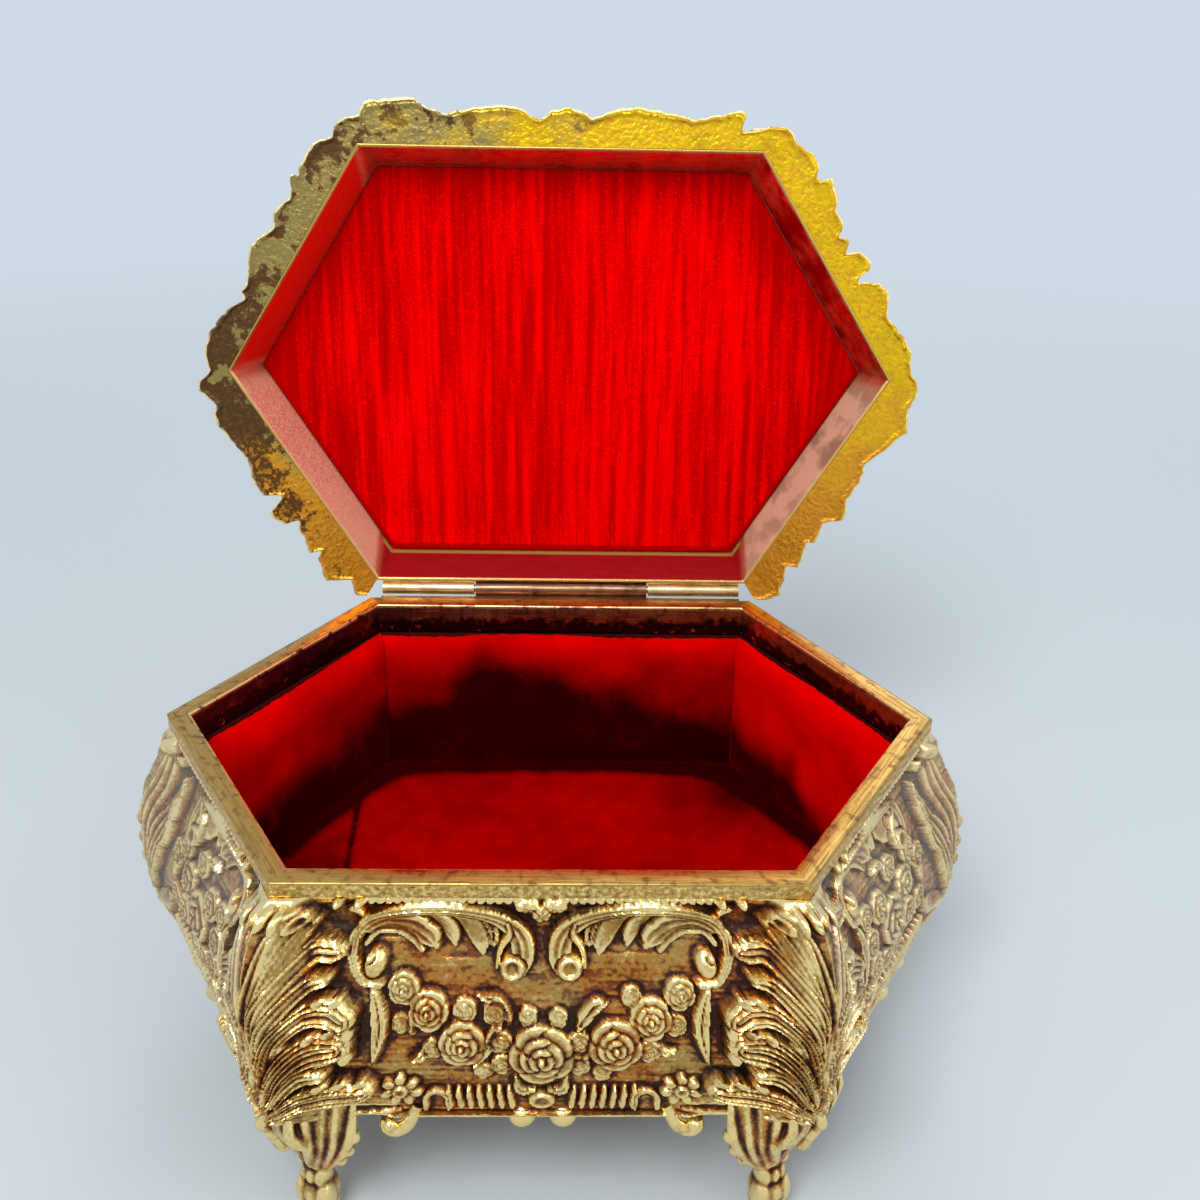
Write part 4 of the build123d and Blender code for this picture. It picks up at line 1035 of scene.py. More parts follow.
def stiff_board(name, dark, light):
    material, tree, shader = new_material(name)
    fibre = object_place(tree).noise(1800.0, 5, 0.7)
    feed(shader, {
        "Base Color": fibre.ranged(0.3, 0.7).mixed((*dark, 1.0), (*light, 1.0)),
        "Roughness": fibre.ranged(0.3, 0.7, 0.8, 0.95),
        "Specular IOR Level": 0.1,
        "Normal": fibre.bump(0.0001, 0.5),
    })
    return material


# ------------------------------------------------------------------ shapes of the pieces


def evenly_round(corners, count):
    """Points spaced evenly round a closed plan, with the distance gone at each."""
    closed = np.vstack([corners, corners[:1]])
    at = np.linspace(0, gone_along(closed)[-1], count, endpoint=False)
    return read_along(closed, at), at


def lengths_of(corners):
    return np.linalg.norm(np.roll(corners, -1, axis=0) - corners, axis=1)


def gone_along(line):
    """Distance gone at each point of a line."""
    return np.concatenate([[0], np.cumsum(np.linalg.norm(np.diff(line, axis=0), axis=1))])


def read_along(line, at):
    """Points of a flat line at distances along it."""
    gone = gone_along(line)
    return np.stack([np.interp(at, gone, line[:, k]) for k in range(2)], -1)


def carve_wall(c, long_u, foot_edge, index):
    """All the carving of a wall. A long wall's flowers go by the distance from its middle."""
    c.height += 0.10 * soft_noise(c.q.shape, (2.5, 60), 10 + index)
    c.height += 0.05 * soft_noise(c.q.shape, (2, 3), 20 + index)
    carve_frieze(c)
    carve_arch(c)
    if long_u is not None:
        mirrored, c.q = c.q, long_u
        carve_front_flowers(c)
        c.q = mirrored
    else:
        carve_side_flowers(c)
        carve_side_corner(c)
    carve_acanthus(c)
    carve_corner_stems(c, foot_edge)
    c.height += 0.03 * soft_noise(c.q.shape, (3, 3), 30 + index)


def wall_points(index, pitch):
    """Carved front, lower edge and plain back of one wall, as rings of points round it."""
    corners = rim_hexagon()
    spread = rim_hexagon(1.0) - corners
    near, far = corners[index], corners[(index + 1) % 6]
    near_out, far_out = spread[index], spread[(index + 1) % 6]
    along = (far - near) / np.linalg.norm(far - near)
    length = np.linalg.norm(far - near)
    near_slip, far_slip = -(near_out @ along), far_out @ along
    footed_start, footed_end = index % 3 != 2, index % 3 != 1
    long_wall = footed_start and footed_end
    columns = int((length + 5) / pitch)
    rows = int(wall_bottom / pitch)
    s = np.linspace(0, 1, columns)[None, :].repeat(rows, 0)
    down = np.linspace(0, 1, rows)[:, None]

    def across(ground):
        return -length / 2 - near_slip * ground, length / 2 + far_slip * ground

    def layout(ground):
        low, high = across(ground)
        u = low + (high - low) * s
        if long_wall:
            q = np.abs(u)
        else:
            q = side_start - u if footed_start else side_start + u
        q = q + (2.2 - 0.555 * ground) * smooth(20, 37, q)
        q = q - (2.46 - 0.623 * ground) * smooth(-2, -13, q)
        return u, q, (u - low) if footed_start else (high - u), low, high

    low_edge = np.full(columns, wall_hem)
    w = wall_top + down * (low_edge - wall_top)
    ground = curve_at(wall_curve, w)
    q = layout(ground)[1]
    low_edge = wall_hem + hem_at_foot * smooth(30.5, 33, q[-1])
    w = wall_top + down * (low_edge - wall_top)
    ground = curve_at(wall_curve, w)
    u, q, edge, low, high = layout(ground)
    foot_edge = np.minimum(u - low, high - u) if long_wall else edge
    fade = ridge_width + np.interp(w, [wall_top, 13, 25, wall_bottom], [3.0, 4.5, 8.0, 6.0])
    swell = curve_at(foot_swell, w) * (1 - smooth(ridge_width, fade, foot_edge))
    if not long_wall:
        side_edge = (high - u) if footed_start else (u - low)
        swell = swell + curve_at(side_swell, w) * (1 - smooth(side_ridge_width, fade, side_edge))
    drawn_w = w - 1.7 * np.clip(1 - (w - wall_top) / 12, 0, 1)
    c = Carving(q, drawn_w, swell)
    carve_wall(c, u if long_wall else None, foot_edge, index)
    height = c.height * (0.4 + 0.6 * smooth(0, 1.4, w - wall_top))
    height *= 0.55 + 0.45 * smooth(0, 1.0, low_edge - w)
    outer = ground + height

    lip = [outer[-1] * (1 - k) + 1.9 * k for k in (0.25, 0.6, 1.0)]
    back_w = low_edge - np.linspace(0, 1, wall_back_rows)[1:, None] * (low_edge - wall_top)
    out = np.vstack([outer, lip, curve_at(back_curve, back_w)])
    drop = np.vstack([w, np.stack([low_edge + 0.12, low_edge + 0.1, low_edge]), back_w])
    share = s[:1].repeat(len(out), 0)
    start = near + near_out * out[..., None]
    end = far + far_out * out[..., None]
    place = start + (end - start) * share[..., None]
    return body_place(place[..., 0], place[..., 1], rim_top - drop)


def body_point(place, z):
    """One place of the body's plan, in metres."""
    return Vector(body_place(*(np.array(float(value)) for value in (*place, z))))


def wall_frame(index, u, drop, out):
    """A point on a wall, from its middle, below the rim and out of it, in metres."""
    corners = rim_hexagon()
    near, far = corners[index], corners[(index + 1) % 6]
    along = (far - near) / np.linalg.norm(far - near)
    outward = np.array([along[1], -along[0]])
    return body_point((near + far) / 2 + along * u + outward * out, rim_top - drop)


def hanging_drop(index, u, size):
    """A turned drop under the lower edge: a ball with a collar over it."""
    middle = wall_frame(index, u, drop_hang, drop_out)
    top = ball(middle, [size * MM, size * 0.85 * MM, size * 0.95 * MM])
    collar = ball(middle + Vector((0, 0, 1.3 * MM)), [size * 0.75 * MM, size * 0.7 * MM, 0.5 * MM])
    return [top, collar]


def hooked_drop(index, u, side):
    """A scroll that drops below the edge and curls back up inwards."""
    path = [(3.2, 37.6, 3.3, 0.9), (2.4, 39.6, 3.6, 1.0), (1.4, 41.6, 3.5, 1.15),
            (-0.4, 42.9, 3.3, 1.2), (-1.9, 41.8, 3.3, 1.1), (-1.7, 40.4, 3.3, 0.7)]
    bar = tube([
        (wall_frame(index, u - side * shift, drop, out), radius * MM)
        for shift, drop, out, radius in path
    ])
    eye = ball(wall_frame(index, u + side * 1.0, 41.3, 3.6), [1.1 * MM] * 3)
    return [bar, eye]


def fuse(piece, voxel):
    """Melts overlapping lumps into one cast skin."""
    only(piece)
    remesh = piece.modifiers.new("cast", "REMESH")
    remesh.mode = "VOXEL"
    remesh.voxel_size = voxel
    bpy.ops.object.modifier_apply(modifier=remesh.name)
    ease = piece.modifiers.new("ease", "SMOOTH")
    ease.factor = 0.5
    ease.iterations = 2
    bpy.ops.object.modifier_apply(modifier=ease.name)


def foot_piece(name, index):
    """A cast foot: a two-lobed toe, a waisted ankle and a hollow folded leaf on each side."""
    corner = rim_hexagon(-0.9)[index]
    toe = corner - np.array([np.copysign(2.1, corner[0]), 0])
    rim = rim_hexagon()
    out = (rim_hexagon(1.0)[index] - rim[index])
    out = out / np.linalg.norm(out)
    turn = atan2(out[1], out[0])

    def at(away, aside, z):
        px, py = toe + (corner - toe) * smooth(9, 21, z)
        px = px + out[0] * away - out[1] * aside
        py = py + out[1] * away + out[0] * aside
        return body_point((px, py), z)

    lumps = []

    def lump(away, aside, z, sizes, spin=0.0):
        lumps.append(ball(at(away, aside, z), [size * MM for size in sizes], turn + spin))

    lump(0.3, 0, 2.2, (2.7, 2.7, 2.1))
    lump(0.5, 0, 5.0, (2.9, 3.1, 3.1))
    for side in (-1, 1):
        lump(1.3, side * 1.7, 4.8, (2.1, 1.7, 3.3), side * 0.3)
        lump(0.9, side * 1.3, 8.6, (1.8, 1.2, 2.2))
        lump(1.0, side * 1.5, 11.8, (1.6, 1.1, 1.5))
    lump(2.2, 0, 8.8, (0.9, 0.8, 1.4))
    lumps.append(tube([
        (at(0.2, 0, 6), 2.3 * MM), (at(0.2, 0, 10), 1.9 * MM), (at(0.5, 0, 13.5), 2.1 * MM),
        (at(1.4, 0, 18), 2.8 * MM), (at(2.4, 0, 23), 3.5 * MM), (at(1.8, 0, 26.6), 3.4 * MM),
    ], 16))
    for neighbour in ((index - 1) % 6, (index + 1) % 6):
        along = rim[neighbour] - rim[index]
        along = along / np.linalg.norm(along)
        outward = np.array([along[1], -along[0]])
        outward = outward if outward @ out > 0 else -outward

        def wing(reach, away, z):
            return body_point(rim[index] + along * reach + outward * away, z)

        low = 0.0 if abs(along[1]) < 0.1 else 2.6
        for vein in (
            [(3.6, 0.9, 11.4, 1.5), (4.9, 2.0, 14.6 + low, 2.0), (6.2, 2.5, 18.6 + 0.5 * low, 2.4),
             (6.9, 2.4, 22.0, 2.5), (7.2, 0.9, vein_top, 2.0)],
            [(4.6, 2.4, 12.4, 0.6), (6.6, 3.8, 15.8 + low, 0.8), (8.4, 4.3, 19.4 + 0.5 * low, 0.9),
             (9.2, 4.1, 22.4, 0.9), (9.3, 1.9, vein_top, 0.6)],
            [(4.4, 2.9, 13.4, 0.5), (5.7, 4.3, 17.0 + low, 0.6), (6.7, 4.9, 21.0, 0.6),
             (6.9, 2.9, 25.8, 0.4)],
            [(2.0, 1.4, 12.8, 1.1), (2.4, 3.2, 16.6, 1.2), (2.6, 4.3, 20.4, 1.2),
             (1.9, 2.6, 26.0, 0.8)],
            [(3.4, 3.0, 17.4, 0.9), (1.2, 4.9, 20.0, 1.1), (-0.2, 5.2, 22.6, 0.9),
             (0.4, 2.8, vein_top, 0.5)],
            [(2.8, 1.0, 12.6, 2.0), (3.9, 1.7, 16.6, 2.6), (4.7, 2.1, 20.6, 2.9),
             (4.8, 0.4, 26.0, 2.6)],
        ):
            lumps.append(tube([(wing(*place), size * MM) for *place, size in vein], 10))
        for reach, away, z, size in ((8.3, 3.7, 17.6 + low, 1.0), (7.0, 3.2, 14.9 + low, 0.9),
                                     (9.3, 3.9, 20.6, 1.1), (3.0, 1.0, 22.6, 2.3)):
            lumps.append(ball(wing(reach, away, z), [size * MM] * 3))
    base = join(*lumps)
    named(name)
    fuse(base, foot_voxel)
    co = read(base.data.vertices, "co")
    co[:, 2] = np.maximum(co[:, 2], 0.0)
    put(base, co)
    return base


def rounded(outline, radius, steps=4):
    """A closed outline with its corners rounded off."""
    outline = np.array(outline, float)
    points = []
    for before, here, after in zip(np.roll(outline, 1, 0), outline, np.roll(outline, -1, 0)):
        back, on = before - here, after - here
        cut = min(radius, 0.45 * np.linalg.norm(back), 0.45 * np.linalg.norm(on))
        back, on = back / np.linalg.norm(back), on / np.linalg.norm(on)
        for t in np.linspace(0, 1, steps):
            points.append(here + back * cut * (1 - t) ** 2 + on * cut * t**2)
    return np.array(points)


def mitred_ring(name, plan, outline, place, pitch, waver=0.0, seed=1):
    """A moulding that runs round a six-sided plan. The outline is (grown, level)."""
    corners, spread = plan(0.0), plan(1.0) - plan(0.0)
    lengths = lengths_of(corners)
    shares, sides = [], []
    for side, length in enumerate(lengths):
        count = max(int(length / pitch), 2)
        edges = np.concatenate([[0.0, 0.004], np.linspace(0.02, 0.98, count - 2), [0.996]])
        shares.append(edges)
        sides.append(np.full(len(edges), side))
    share, side = np.concatenate(shares)[:, None, None], np.concatenate(sides)
    after = (side + 1) % 6
    grow, level = outline[:, 0], outline[:, 1]
    start = corners[side][:, None] + spread[side][:, None] * grow[None, :, None]
    end = corners[after][:, None] + spread[after][:, None] * grow[None, :, None]
    flat = start + (end - start) * share
    drift = waver * soft_noise((len(side), len(outline)), (5, 4), seed)
    points = place(flat[..., 0], flat[..., 1], level[None, :] + drift)
    piece = closed_ring(name, points)
    gone = np.concatenate([[0], np.cumsum(lengths)])[side] + share[:, 0, 0] * lengths[side]
    run = np.stack(np.broadcast_arrays(gone[:, None], gone_along(outline)[None], 0.0), -1) * MM
    store(piece, "run", run, "FLOAT_VECTOR", "vector")
    return piece


def depth_in(plan, x, y, soft=0.5):
    """Distance inside the nearest side of a plan, rounded where two sides are as near."""
    corners = plan(0.0)
    total = 0.0
    for near, far in zip(corners, np.roll(corners, -1, axis=0)):
        along = (far - near) / np.linalg.norm(far - near)
        gap = -((x - near[0]) * along[1] - (y - near[1]) * along[0])
        total = total + np.exp(-gap / soft)
    return np.maximum(-soft * np.log(total), 0)


def rose_spray(c):
    """The lid's middle: roses and leaves in a beaded oval."""
    ring = [(15 * cos(a), 10 * sin(a)) for a in np.linspace(0, 2 * pi, 25)]
    c.boss(0, 0, 14.4, 9.4, 0.7, 0, "dome", 0.3)
    c.stroke([(x, y, 1.0) for x, y in ring], 1.2, "scroll")
    beads = np.linspace(0, 2 * pi, 45)[:-1]
    c.row([(17.2 * cos(a), 12.0 * sin(a)) for a in beads], 0.7, 0.7, 0.8)
    for side in (-1, 1):
        for leaf in ([(3, 3, 0.4), (7, 5.6, 1.5), (11, 4.6, 0.3)],
                     [(3, -3, 0.4), (6.6, -6, 1.5), (10.6, -5, 0.3)]):
            places = [(side * q, w, half) for q, w, half in leaf]
            c.stroke(places, 1.3, "leaf", 0.8, flutes=1)
        c.rose(side * 8.2, -0.4, 3.2, 1.8, 0.4 + side, 1.1, 0.9)
    c.rose(0, 0, 5.0, 2.4, 0.3, 1.0, 1.0)


def carve_lid_top(c):
    """Scrolls, flowers and leaves round the oval, alike in all four quarters."""
    for sx in (-1, 1):
        for sy in (-1, 1):
            def draw(places, *rest, **more):
                c.stroke([(sx * x, sy * y, half) for x, y, half in places], *rest, **more)

            draw([(20, 17.5, 0.6), (23.5, 21.5, 1.3), (29, 22.6, 1.2), (34, 19, 0.9)], 1.1, "leaf")
            draw([(36, 20, 0.5), (40, 14, 1.6), (44, 10, 1.4), (47, 4, 0.5)], 1.1, "leaf")
            draw([(19.5, 3.4, 0.5), (20.8, 8.6, 0.9), (24.6, 13.0, 1.1), (30.6, 14.2, 1.2),
                  (36.2, 11.4, 1.1), (38.0, 6.4, 0.9), (35.4, 3.4, 0.8), (32.6, 5.0, 0.6)],
                 1.5, "scroll")
            c.boss(sx * 33.6, sy * 6.6, 1.7, 1.7, 1.6)
            draw([(3.4, 15.2, 0.5), (7.6, 19.8, 1.0), (14, 20.6, 1.2), (18.4, 16.6, 1.0),
                  (16.6, 13.6, 0.6)], 1.4, "scroll")
            c.roses([
                (27.0, 8.4, 2.9, 1.6, 0.4), (22.6, 17.0, 2.4, 1.4, 1.0),
                (11.0, 16.2, 2.3, 1.4, 0.7), (29.4, 18.2, 2.2, 1.3, 0.1),
            ], sx, sy)
        c.rose(sx * 26.2, 0, 3.6, 1.9, 0.8)
        c.stroke([(sx * 57, 0, 1.0), (sx * 50, 0, 3.0), (sx * 44.4, 0, 2.2), (sx * 40, 0, 0.3)],
                 1.5, "leaf", flutes=2, lobes=4)
    for sy in (-1, 1):
        c.boss(0, sy * 17.8, 3.2, 4.0, 1.4, pi / 2, "shell")
        c.boss(0, sy * 14.8, 1.3, 1.2, 1.8)


def dome_level(depth):
    """How far the dome stands off the lid's plane, by the distance in from its foot."""
    rise = 1 - sin(dome_slope)
    crown = (dome_half_depth - dome_shoulder * rise) / sin(dome_slope)
    crown_t = (crown - dome_shoulder) * cos(dome_slope) + dome_side_t
    depth = np.clip(depth, 0, dome_half_depth)
    turned = np.clip(dome_shoulder**2 - (dome_shoulder - depth) ** 2, 0, None)
    flat_part = crown_t - np.sqrt(crown**2 - (dome_half_depth - depth) ** 2)
    return np.where(depth < dome_shoulder * rise, dome_side_t - np.sqrt(turned), flat_part)


def outward_normals(base):
    normal = np.cross(np.gradient(base, axis=0), np.roll(base, -1, 1) - np.roll(base, 1, 1))
    normal /= np.linalg.norm(normal, axis=2)[..., None] + 1e-9
    normal[-1] = (0, 0, -1)
    outward = np.sign((normal * (base - np.array([0, dome_plan[3], dome_heart_t]))).sum(-1))
    return normal * outward[..., None]


def carve_dome_sides(c, up_wall, whole):
    """Beads, flutes and a plain band round the dome, leaves at its corners, shells between."""
    c.height += 0.06 * soft_noise(c.height.shape, (2, 3), 51)
    c.row([(at, 1.9) for at in np.arange(0, whole - 0.1, whole / 150)], 0.8, 0.8, 0.6)
    flutes = np.arange(0, whole - 0.1, whole / 132) + 1.2
    c.row([(at, 8.2) for at in flutes], 1.0, 4.0, 0.8, kind="flute")
    banded = (up_wall > dome_band[0]) & (up_wall < dome_band[1])
    c.height[:] = np.where(banded, dome_band_height, c.height)
    starts = np.concatenate([[0], np.cumsum(lengths_of(dome_hexagon()))])
    for corner in starts:
        c.stroke([(corner, 2.6, 2.2), (corner, 8, 4.2), (corner, 15, 3.6), (corner, 21, 0.6)], 1.7,
                 "leaf", 0.6, flutes=2, lobes=4)
    for mid in (starts[:-1] + starts[1:]) / 2:
        c.boss(mid, 8, 4.4, 5.2, 1.6, pi / 2, "shell", 0.6)
        c.boss(mid, 4.6, 1.8, 1.6, 2.3)
        for side in (-1, 1):
            c.stroke([(mid + side * 2, 4, 0.8), (mid + side * 7, 3.6, 1.3),
                      (mid + side * 11, 7, 1.4), (mid + side * 9, 11, 0.8),
                      (mid + side * 6.6, 9, 0.5)], 1.4, "scroll", 0.5)


def lid_dome_points(columns, rows):
    """Rings of the domed lid, from the outside's middle to its foot and back inside."""
    foot, gone = evenly_round(dome_hexagon(), columns)
    middle = np.array([0.0, dome_plan[3]])
    steps = np.linspace(0, dome_half_depth, 4000)
    rises = np.diff(dome_level(steps))
    arc = np.concatenate([[0], np.cumsum(np.hypot(np.diff(steps), rises))])
    climb = np.linspace(0, arc[-1], rows - dome_side_rows + 1)
    scale = 1 - np.interp(climb, arc, steps) / dome_half_depth
    flat = middle + (foot - middle)[None] * scale[:, None, None]
    out = dome_level(depth_in(dome_hexagon, flat[..., 0], flat[..., 1]))
    out[0] = dome_side_t
    sides = np.linspace(dome_foot_t, dome_side_t, dome_side_rows, endpoint=False)
    plan = np.concatenate([foot[None].repeat(dome_side_rows, 0), flat])
    base = np.dstack([plan, np.concatenate([sides[:, None].repeat(columns, 1), out])])
    climbed = np.concatenate([sides - dome_foot_t, dome_side_t - dome_foot_t - climb]) * -1
    up_wall = climbed[:, None].repeat(columns, 1)
    around = gone[None].repeat(len(up_wall), 0)
    c = Carving(around, up_wall)
    carve_dome_sides(c, up_wall, gone[-1] + gone[1])
    top = Carving(base[..., 0], base[..., 1] - dome_plan[3])
    top.height = c.height
    where = up_wall < dome_sides_top
    kept = c.height[where].copy()
    carve_lid_top(top)
    rose_spray(top)
    top.height[where] = np.maximum(kept, np.where(up_wall[where] < 8, 0, top.height[where]))
    fade = smooth(0, 2.4, up_wall)
    skin = base + outward_normals(base) * (top.height * fade)[..., None]
    skin[..., 1] = np.maximum(skin[..., 1], dome_hexagon()[0][1])

    shares = (1 - np.array(under_insets) / dome_half_depth)[:, None, None]
    inside = middle + (foot - middle)[None] * shares
    inner_t = dome_level(depth_in(dome_hexagon, inside[..., 0], inside[..., 1])) + dome_sheet
    inner_t[:4] = np.array([0.2, -2.0, -5.0, -8.6])[:, None]
    rings = np.concatenate([skin[::-1], np.dstack([inside, inner_t])])
    rings[0] = rings[0].mean(0)
    rings[-1] = rings[-1].mean(0)
    return lid_place(rings[..., 0], rings[..., 1], rings[..., 2])


# Tips and notches of the border's leafy edge, along the hinge and up from it
border_edge = [
    (38.4, -2.0), (41.6, -2.0), (43.4, -0.8), (44.5, 5.3), (46.9, 4.7), (48.1, 10.2), (49.9, 10.2),
    (51.3, 14.2), (54.8, 14.7), (55.5, 15.6), (55.6, 19.0), (57.9, 22.7), (58.5, 25.8),
    (65.9, 32.2), (66.3, 38.0), (67.3, 39.1), (67.6, 41.4), (67.2, 42.6), (65.9, 43.7),
    (65.6, 48.3), (60.8, 54.4), (60.4, 58.8), (58.8, 60.6), (54.6, 60.3), (54.8, 61.6),
    (57.1, 63.4), (56.9, 64.5), (55.1, 66.0), (52.0, 65.7), (52.4, 68.2), (50.6, 68.6),
    (51.4, 71.1), (49.5, 73.5), (50.0, 75.6), (48.5, 79.1), (46.1, 78.6), (46.0, 81.2),
    (45.1, 83.2), (42.1, 84.7), (41.3, 86.8), (40.3, 87.4), (37.9, 87.7), (32.0, 86.6),
    (32.8, 89.4), (32.0, 90.1), (23.4, 88.6), (18.6, 89.6), (13.8, 90.6), (9.2, 89.9), (5.6, 88.4),
    (3.4, 89.6), (0.8, 90.2), (-1.6, 89.6), (-4.0, 88.0), (-6.2, 89.4), (-8.4, 90.1),
    (-12.0, 90.3), (-16.2, 89.8), (-20.5, 88.6), (-24.1, 89.9), (-26.0, 91.4), (-34.9, 90.7),
    (-35.7, 88.3), (-39.0, 87.5), (-40.4, 85.9), (-40.5, 84.5), (-42.9, 84.0), (-45.3, 82.0),
    (-47.0, 78.0), (-48.3, 77.7), (-48.6, 74.1), (-51.9, 71.3), (-51.6, 68.9), (-56.5, 65.4),
    (-57.6, 58.0), (-58.7, 57.2), (-58.1, 56.0), (-61.6, 53.5), (-65.1, 49.4), (-66.2, 46.1),
    (-65.3, 42.6), (-67.6, 40.2), (-67.8, 39.0), (-64.7, 35.8), (-65.4, 34.6), (-64.9, 32.3),
    (-59.7, 25.5), (-59.0, 21.1), (-57.3, 18.3), (-53.7, 18.7), (-53.7, 17.6), (-56.1, 15.2),
    (-56.0, 14.1), (-53.9, 12.7), (-50.7, 13.3), (-50.8, 10.9), (-49.8, 10.2), (-49.4, 6.7),
    (-46.6, 7.5), (-47.5, 5.5), (-46.3, 0.9), (-41.1, 1.5), (-40.9, -1.3), (-40.1, -2.0),
    (-38.4, -2.0),
]


def border_outline():
    """Edge of the lid's border: leaf tips and notches, slightly rounded and finely nicked."""
    places = np.array(border_edge)
    whole = gone_along(places)[-1]
    line = read_along(places, np.linspace(0, whole, int(whole / 0.15)))
    for _ in range(5):
        line[1:-1] = (line[:-2] + 2 * line[1:-1] + line[2:]) / 4
    heading = np.gradient(line, axis=0)
    heading /= np.linalg.norm(heading, axis=1)[:, None]
    nicks = 0.2 * soft_noise((1, len(line)), (1, 7), 11)[0]
    return line + np.stack([heading[:, 1], -heading[:, 0]], -1) * nicks[:, None]


def border_points(columns):
    """Border of the lid as rings across it, from the hollow's lip over its edge and back."""
    line = border_outline()
    at = np.linspace(0, gone_along(line)[-1], columns)
    outer = read_along(line, at)
    corners = hollow_hexagon(0.7)
    path = np.vstack([corners[1:], corners[:1]])
    middle = np.array([0, hollow_plan[3]])

    def turned(points):
        flat = points - middle
        return np.unwrap(np.arctan2(flat[:, 1], flat[:, 0]))

    turn = turned(outer)
    share = (turn - turn[0]) / (turn[-1] - turn[0])
    dense = np.vstack([
        near + (far - near) * np.linspace(0, 1, 200, endpoint=False)[:, None]
        for near, far in zip(path[:-1], path[1:])
    ] + [path[-1:]])
    angle = turned(dense)
    wanted = angle[0] + share * (angle[-1] - angle[0])
    inner = np.stack([np.interp(wanted, angle, dense[:, k]) for k in range(2)], -1)
    top, low = 0.3, -1.2
    rng = np.random.default_rng(7)
    rows, levels = [], []
    for span in border_top_shares:
        rows.append(inner + (outer - inner) * (span * 0.97))
        dents = 0.03 * rng.uniform(-1, 1, columns) * smooth(0, 0.15, span)
        lip = 0.22 * np.exp(-(((span - 0.9) / 0.05) ** 2)) - 0.45 * smooth(0.93, 1.0, span)
        levels.append(top + lip + dents - 0.05)
    for push, level in ((1.0, -0.2), (1.0, -0.7)):
        rows.append(inner + (outer - inner) * push)
        levels.append(np.full(columns, level))
    veins = 0.35 * np.abs(np.sin(at * 0.9)) + 0.25 * np.abs(np.sin(at * 0.33 + 1))
    for span in border_low_shares:
        rows.append(inner + (outer - inner) * span)
        levels.append(low - veins * smooth(0.0, 0.5, span) * smooth(1.0, 0.8, span) - 0.02)
    flat = np.array(rows)
    return lid_place(flat[..., 0], flat[..., 1], np.array(levels))


def border_span(columns):
    """How far out each point of the border lies: 0 at the hollow, 1 at the leafy edge."""
    rows = np.concatenate([border_top_shares * 0.97, [1.0, 1.0], border_low_shares])
    return np.repeat(rows[:, None], columns, 1)


# How much painted shade darkens two of the velvet walls, and how much painted light lightens a
# third
wall_painted_shade = {"back": 0.2, "left_back": 0.12, "right_back": -0.2}

# How high the painted shadow reaches up each velvet wall: (share of its length, share of its
# height)
painted_shadow_edge = {
    "front": [(0, 0.5), (1, 0.5)], "right_front": [(0, 0.3), (1, 0.2)],
    "right_back": [(0, 0.1), (0.42, 0.16), (0.55, 0.4), (0.8, 0.36), (1, 0.42)],
    "back": [(0, 0.38), (0.2, 0.5), (0.5, 0.72), (0.74, 0.84), (0.9, 0.52), (1, 0.46)],
    "left_back": [(0, 0.56), (0.2, 0.5), (0.6, 0.36), (1, 0.3)],
    "left_front": [(0, 0.3), (1, 0.5)],
}


def lining_points(index, pitch, seed):
    """A padded velvet face: rings of a closed section, soft, uneven and rolled at its top."""
    board_face, base, top = -3.7, 28.2, 58.0
    corners = rim_hexagon()
    spread = rim_hexagon(1.0) - corners
    near, far = corners[index], corners[(index + 1) % 6]
    length = np.linalg.norm(far - near)
    columns = int(length / pitch)
    share = np.linspace(0, 1, columns)
    ends = np.minimum(share, 1 - share) * length
    pull = smooth(0, 6, ends)
    rows = int((top - base) / pitch)
    v = np.linspace(0, 1, rows)[:, None]
    sag = soft_noise((1, columns), (1, 22), seed + 40)[0]
    fuzz = 0.16 * soft_noise((1, columns), (1, 1.4), seed + 70)[0]
    swell = 0.9 + 0.7 * np.sin(pi * v**0.8) * (0.4 + 0.6 * pull)
    swell = swell + 0.8 * np.exp(-(((v - 0.86) / 0.12) ** 2)) * (0.7 + 0.3 * sag)
    swell = swell + 0.6 * soft_noise((rows, columns), (16, 26), seed) * smooth(0, 0.1, v)
    swell = swell + 0.05 * soft_noise((rows, columns), (1.6, 1.6), seed + 9)
    swell = swell * np.sqrt(np.clip(1 - smooth(0.92, 1.0, v) ** 2, 0, 1)) * smooth(-0.05, 0.03, v)
    swell = swell * (0.75 + 0.25 * pull) + 0.05
    level = base + v * (top + 0.45 * sag - 0.35 + fuzz - base)
    face = board_face - np.maximum(swell, 0.05)
    back = np.full((3, columns), board_face - 0.02)
    back_level = np.stack([level[-1] - 0.3, (level[-1] + base) / 2, np.full(columns, base)])
    out = np.vstack([face, back])
    z = np.vstack([level, back_level])
    start = near + spread[index] * out[..., None]
    end = far + spread[(index + 1) % 6] * out[..., None]
    place = start + (end - start) * share[None, :, None]
    # Painted shade on the velvet: dark below a wavy line up each wall
    edge = np.array(painted_shadow_edge[side_names[index]])
    limit = np.interp(share, edge[:, 0], edge[:, 1])
    limit = limit + 0.05 * soft_noise((rows, columns), (8, 12), seed + 5)
    # the band at the top of each wall is painted lighter than the rest
    light = 0.14 * soft_noise((rows, columns), (12, 15), seed + 15) + 0.34 * smooth(0.97, 0.6, v)
    light = light + wall_painted_shade.get(side_names[index], 0.0)
    nap = light + (0.97 - light) * smooth(0.2, -0.2, v - limit)
    nap = np.vstack([nap, nap[-1:].repeat(3, 0)])
    return body_place(place[..., 0], place[..., 1], z), np.clip(nap, 0, 1)


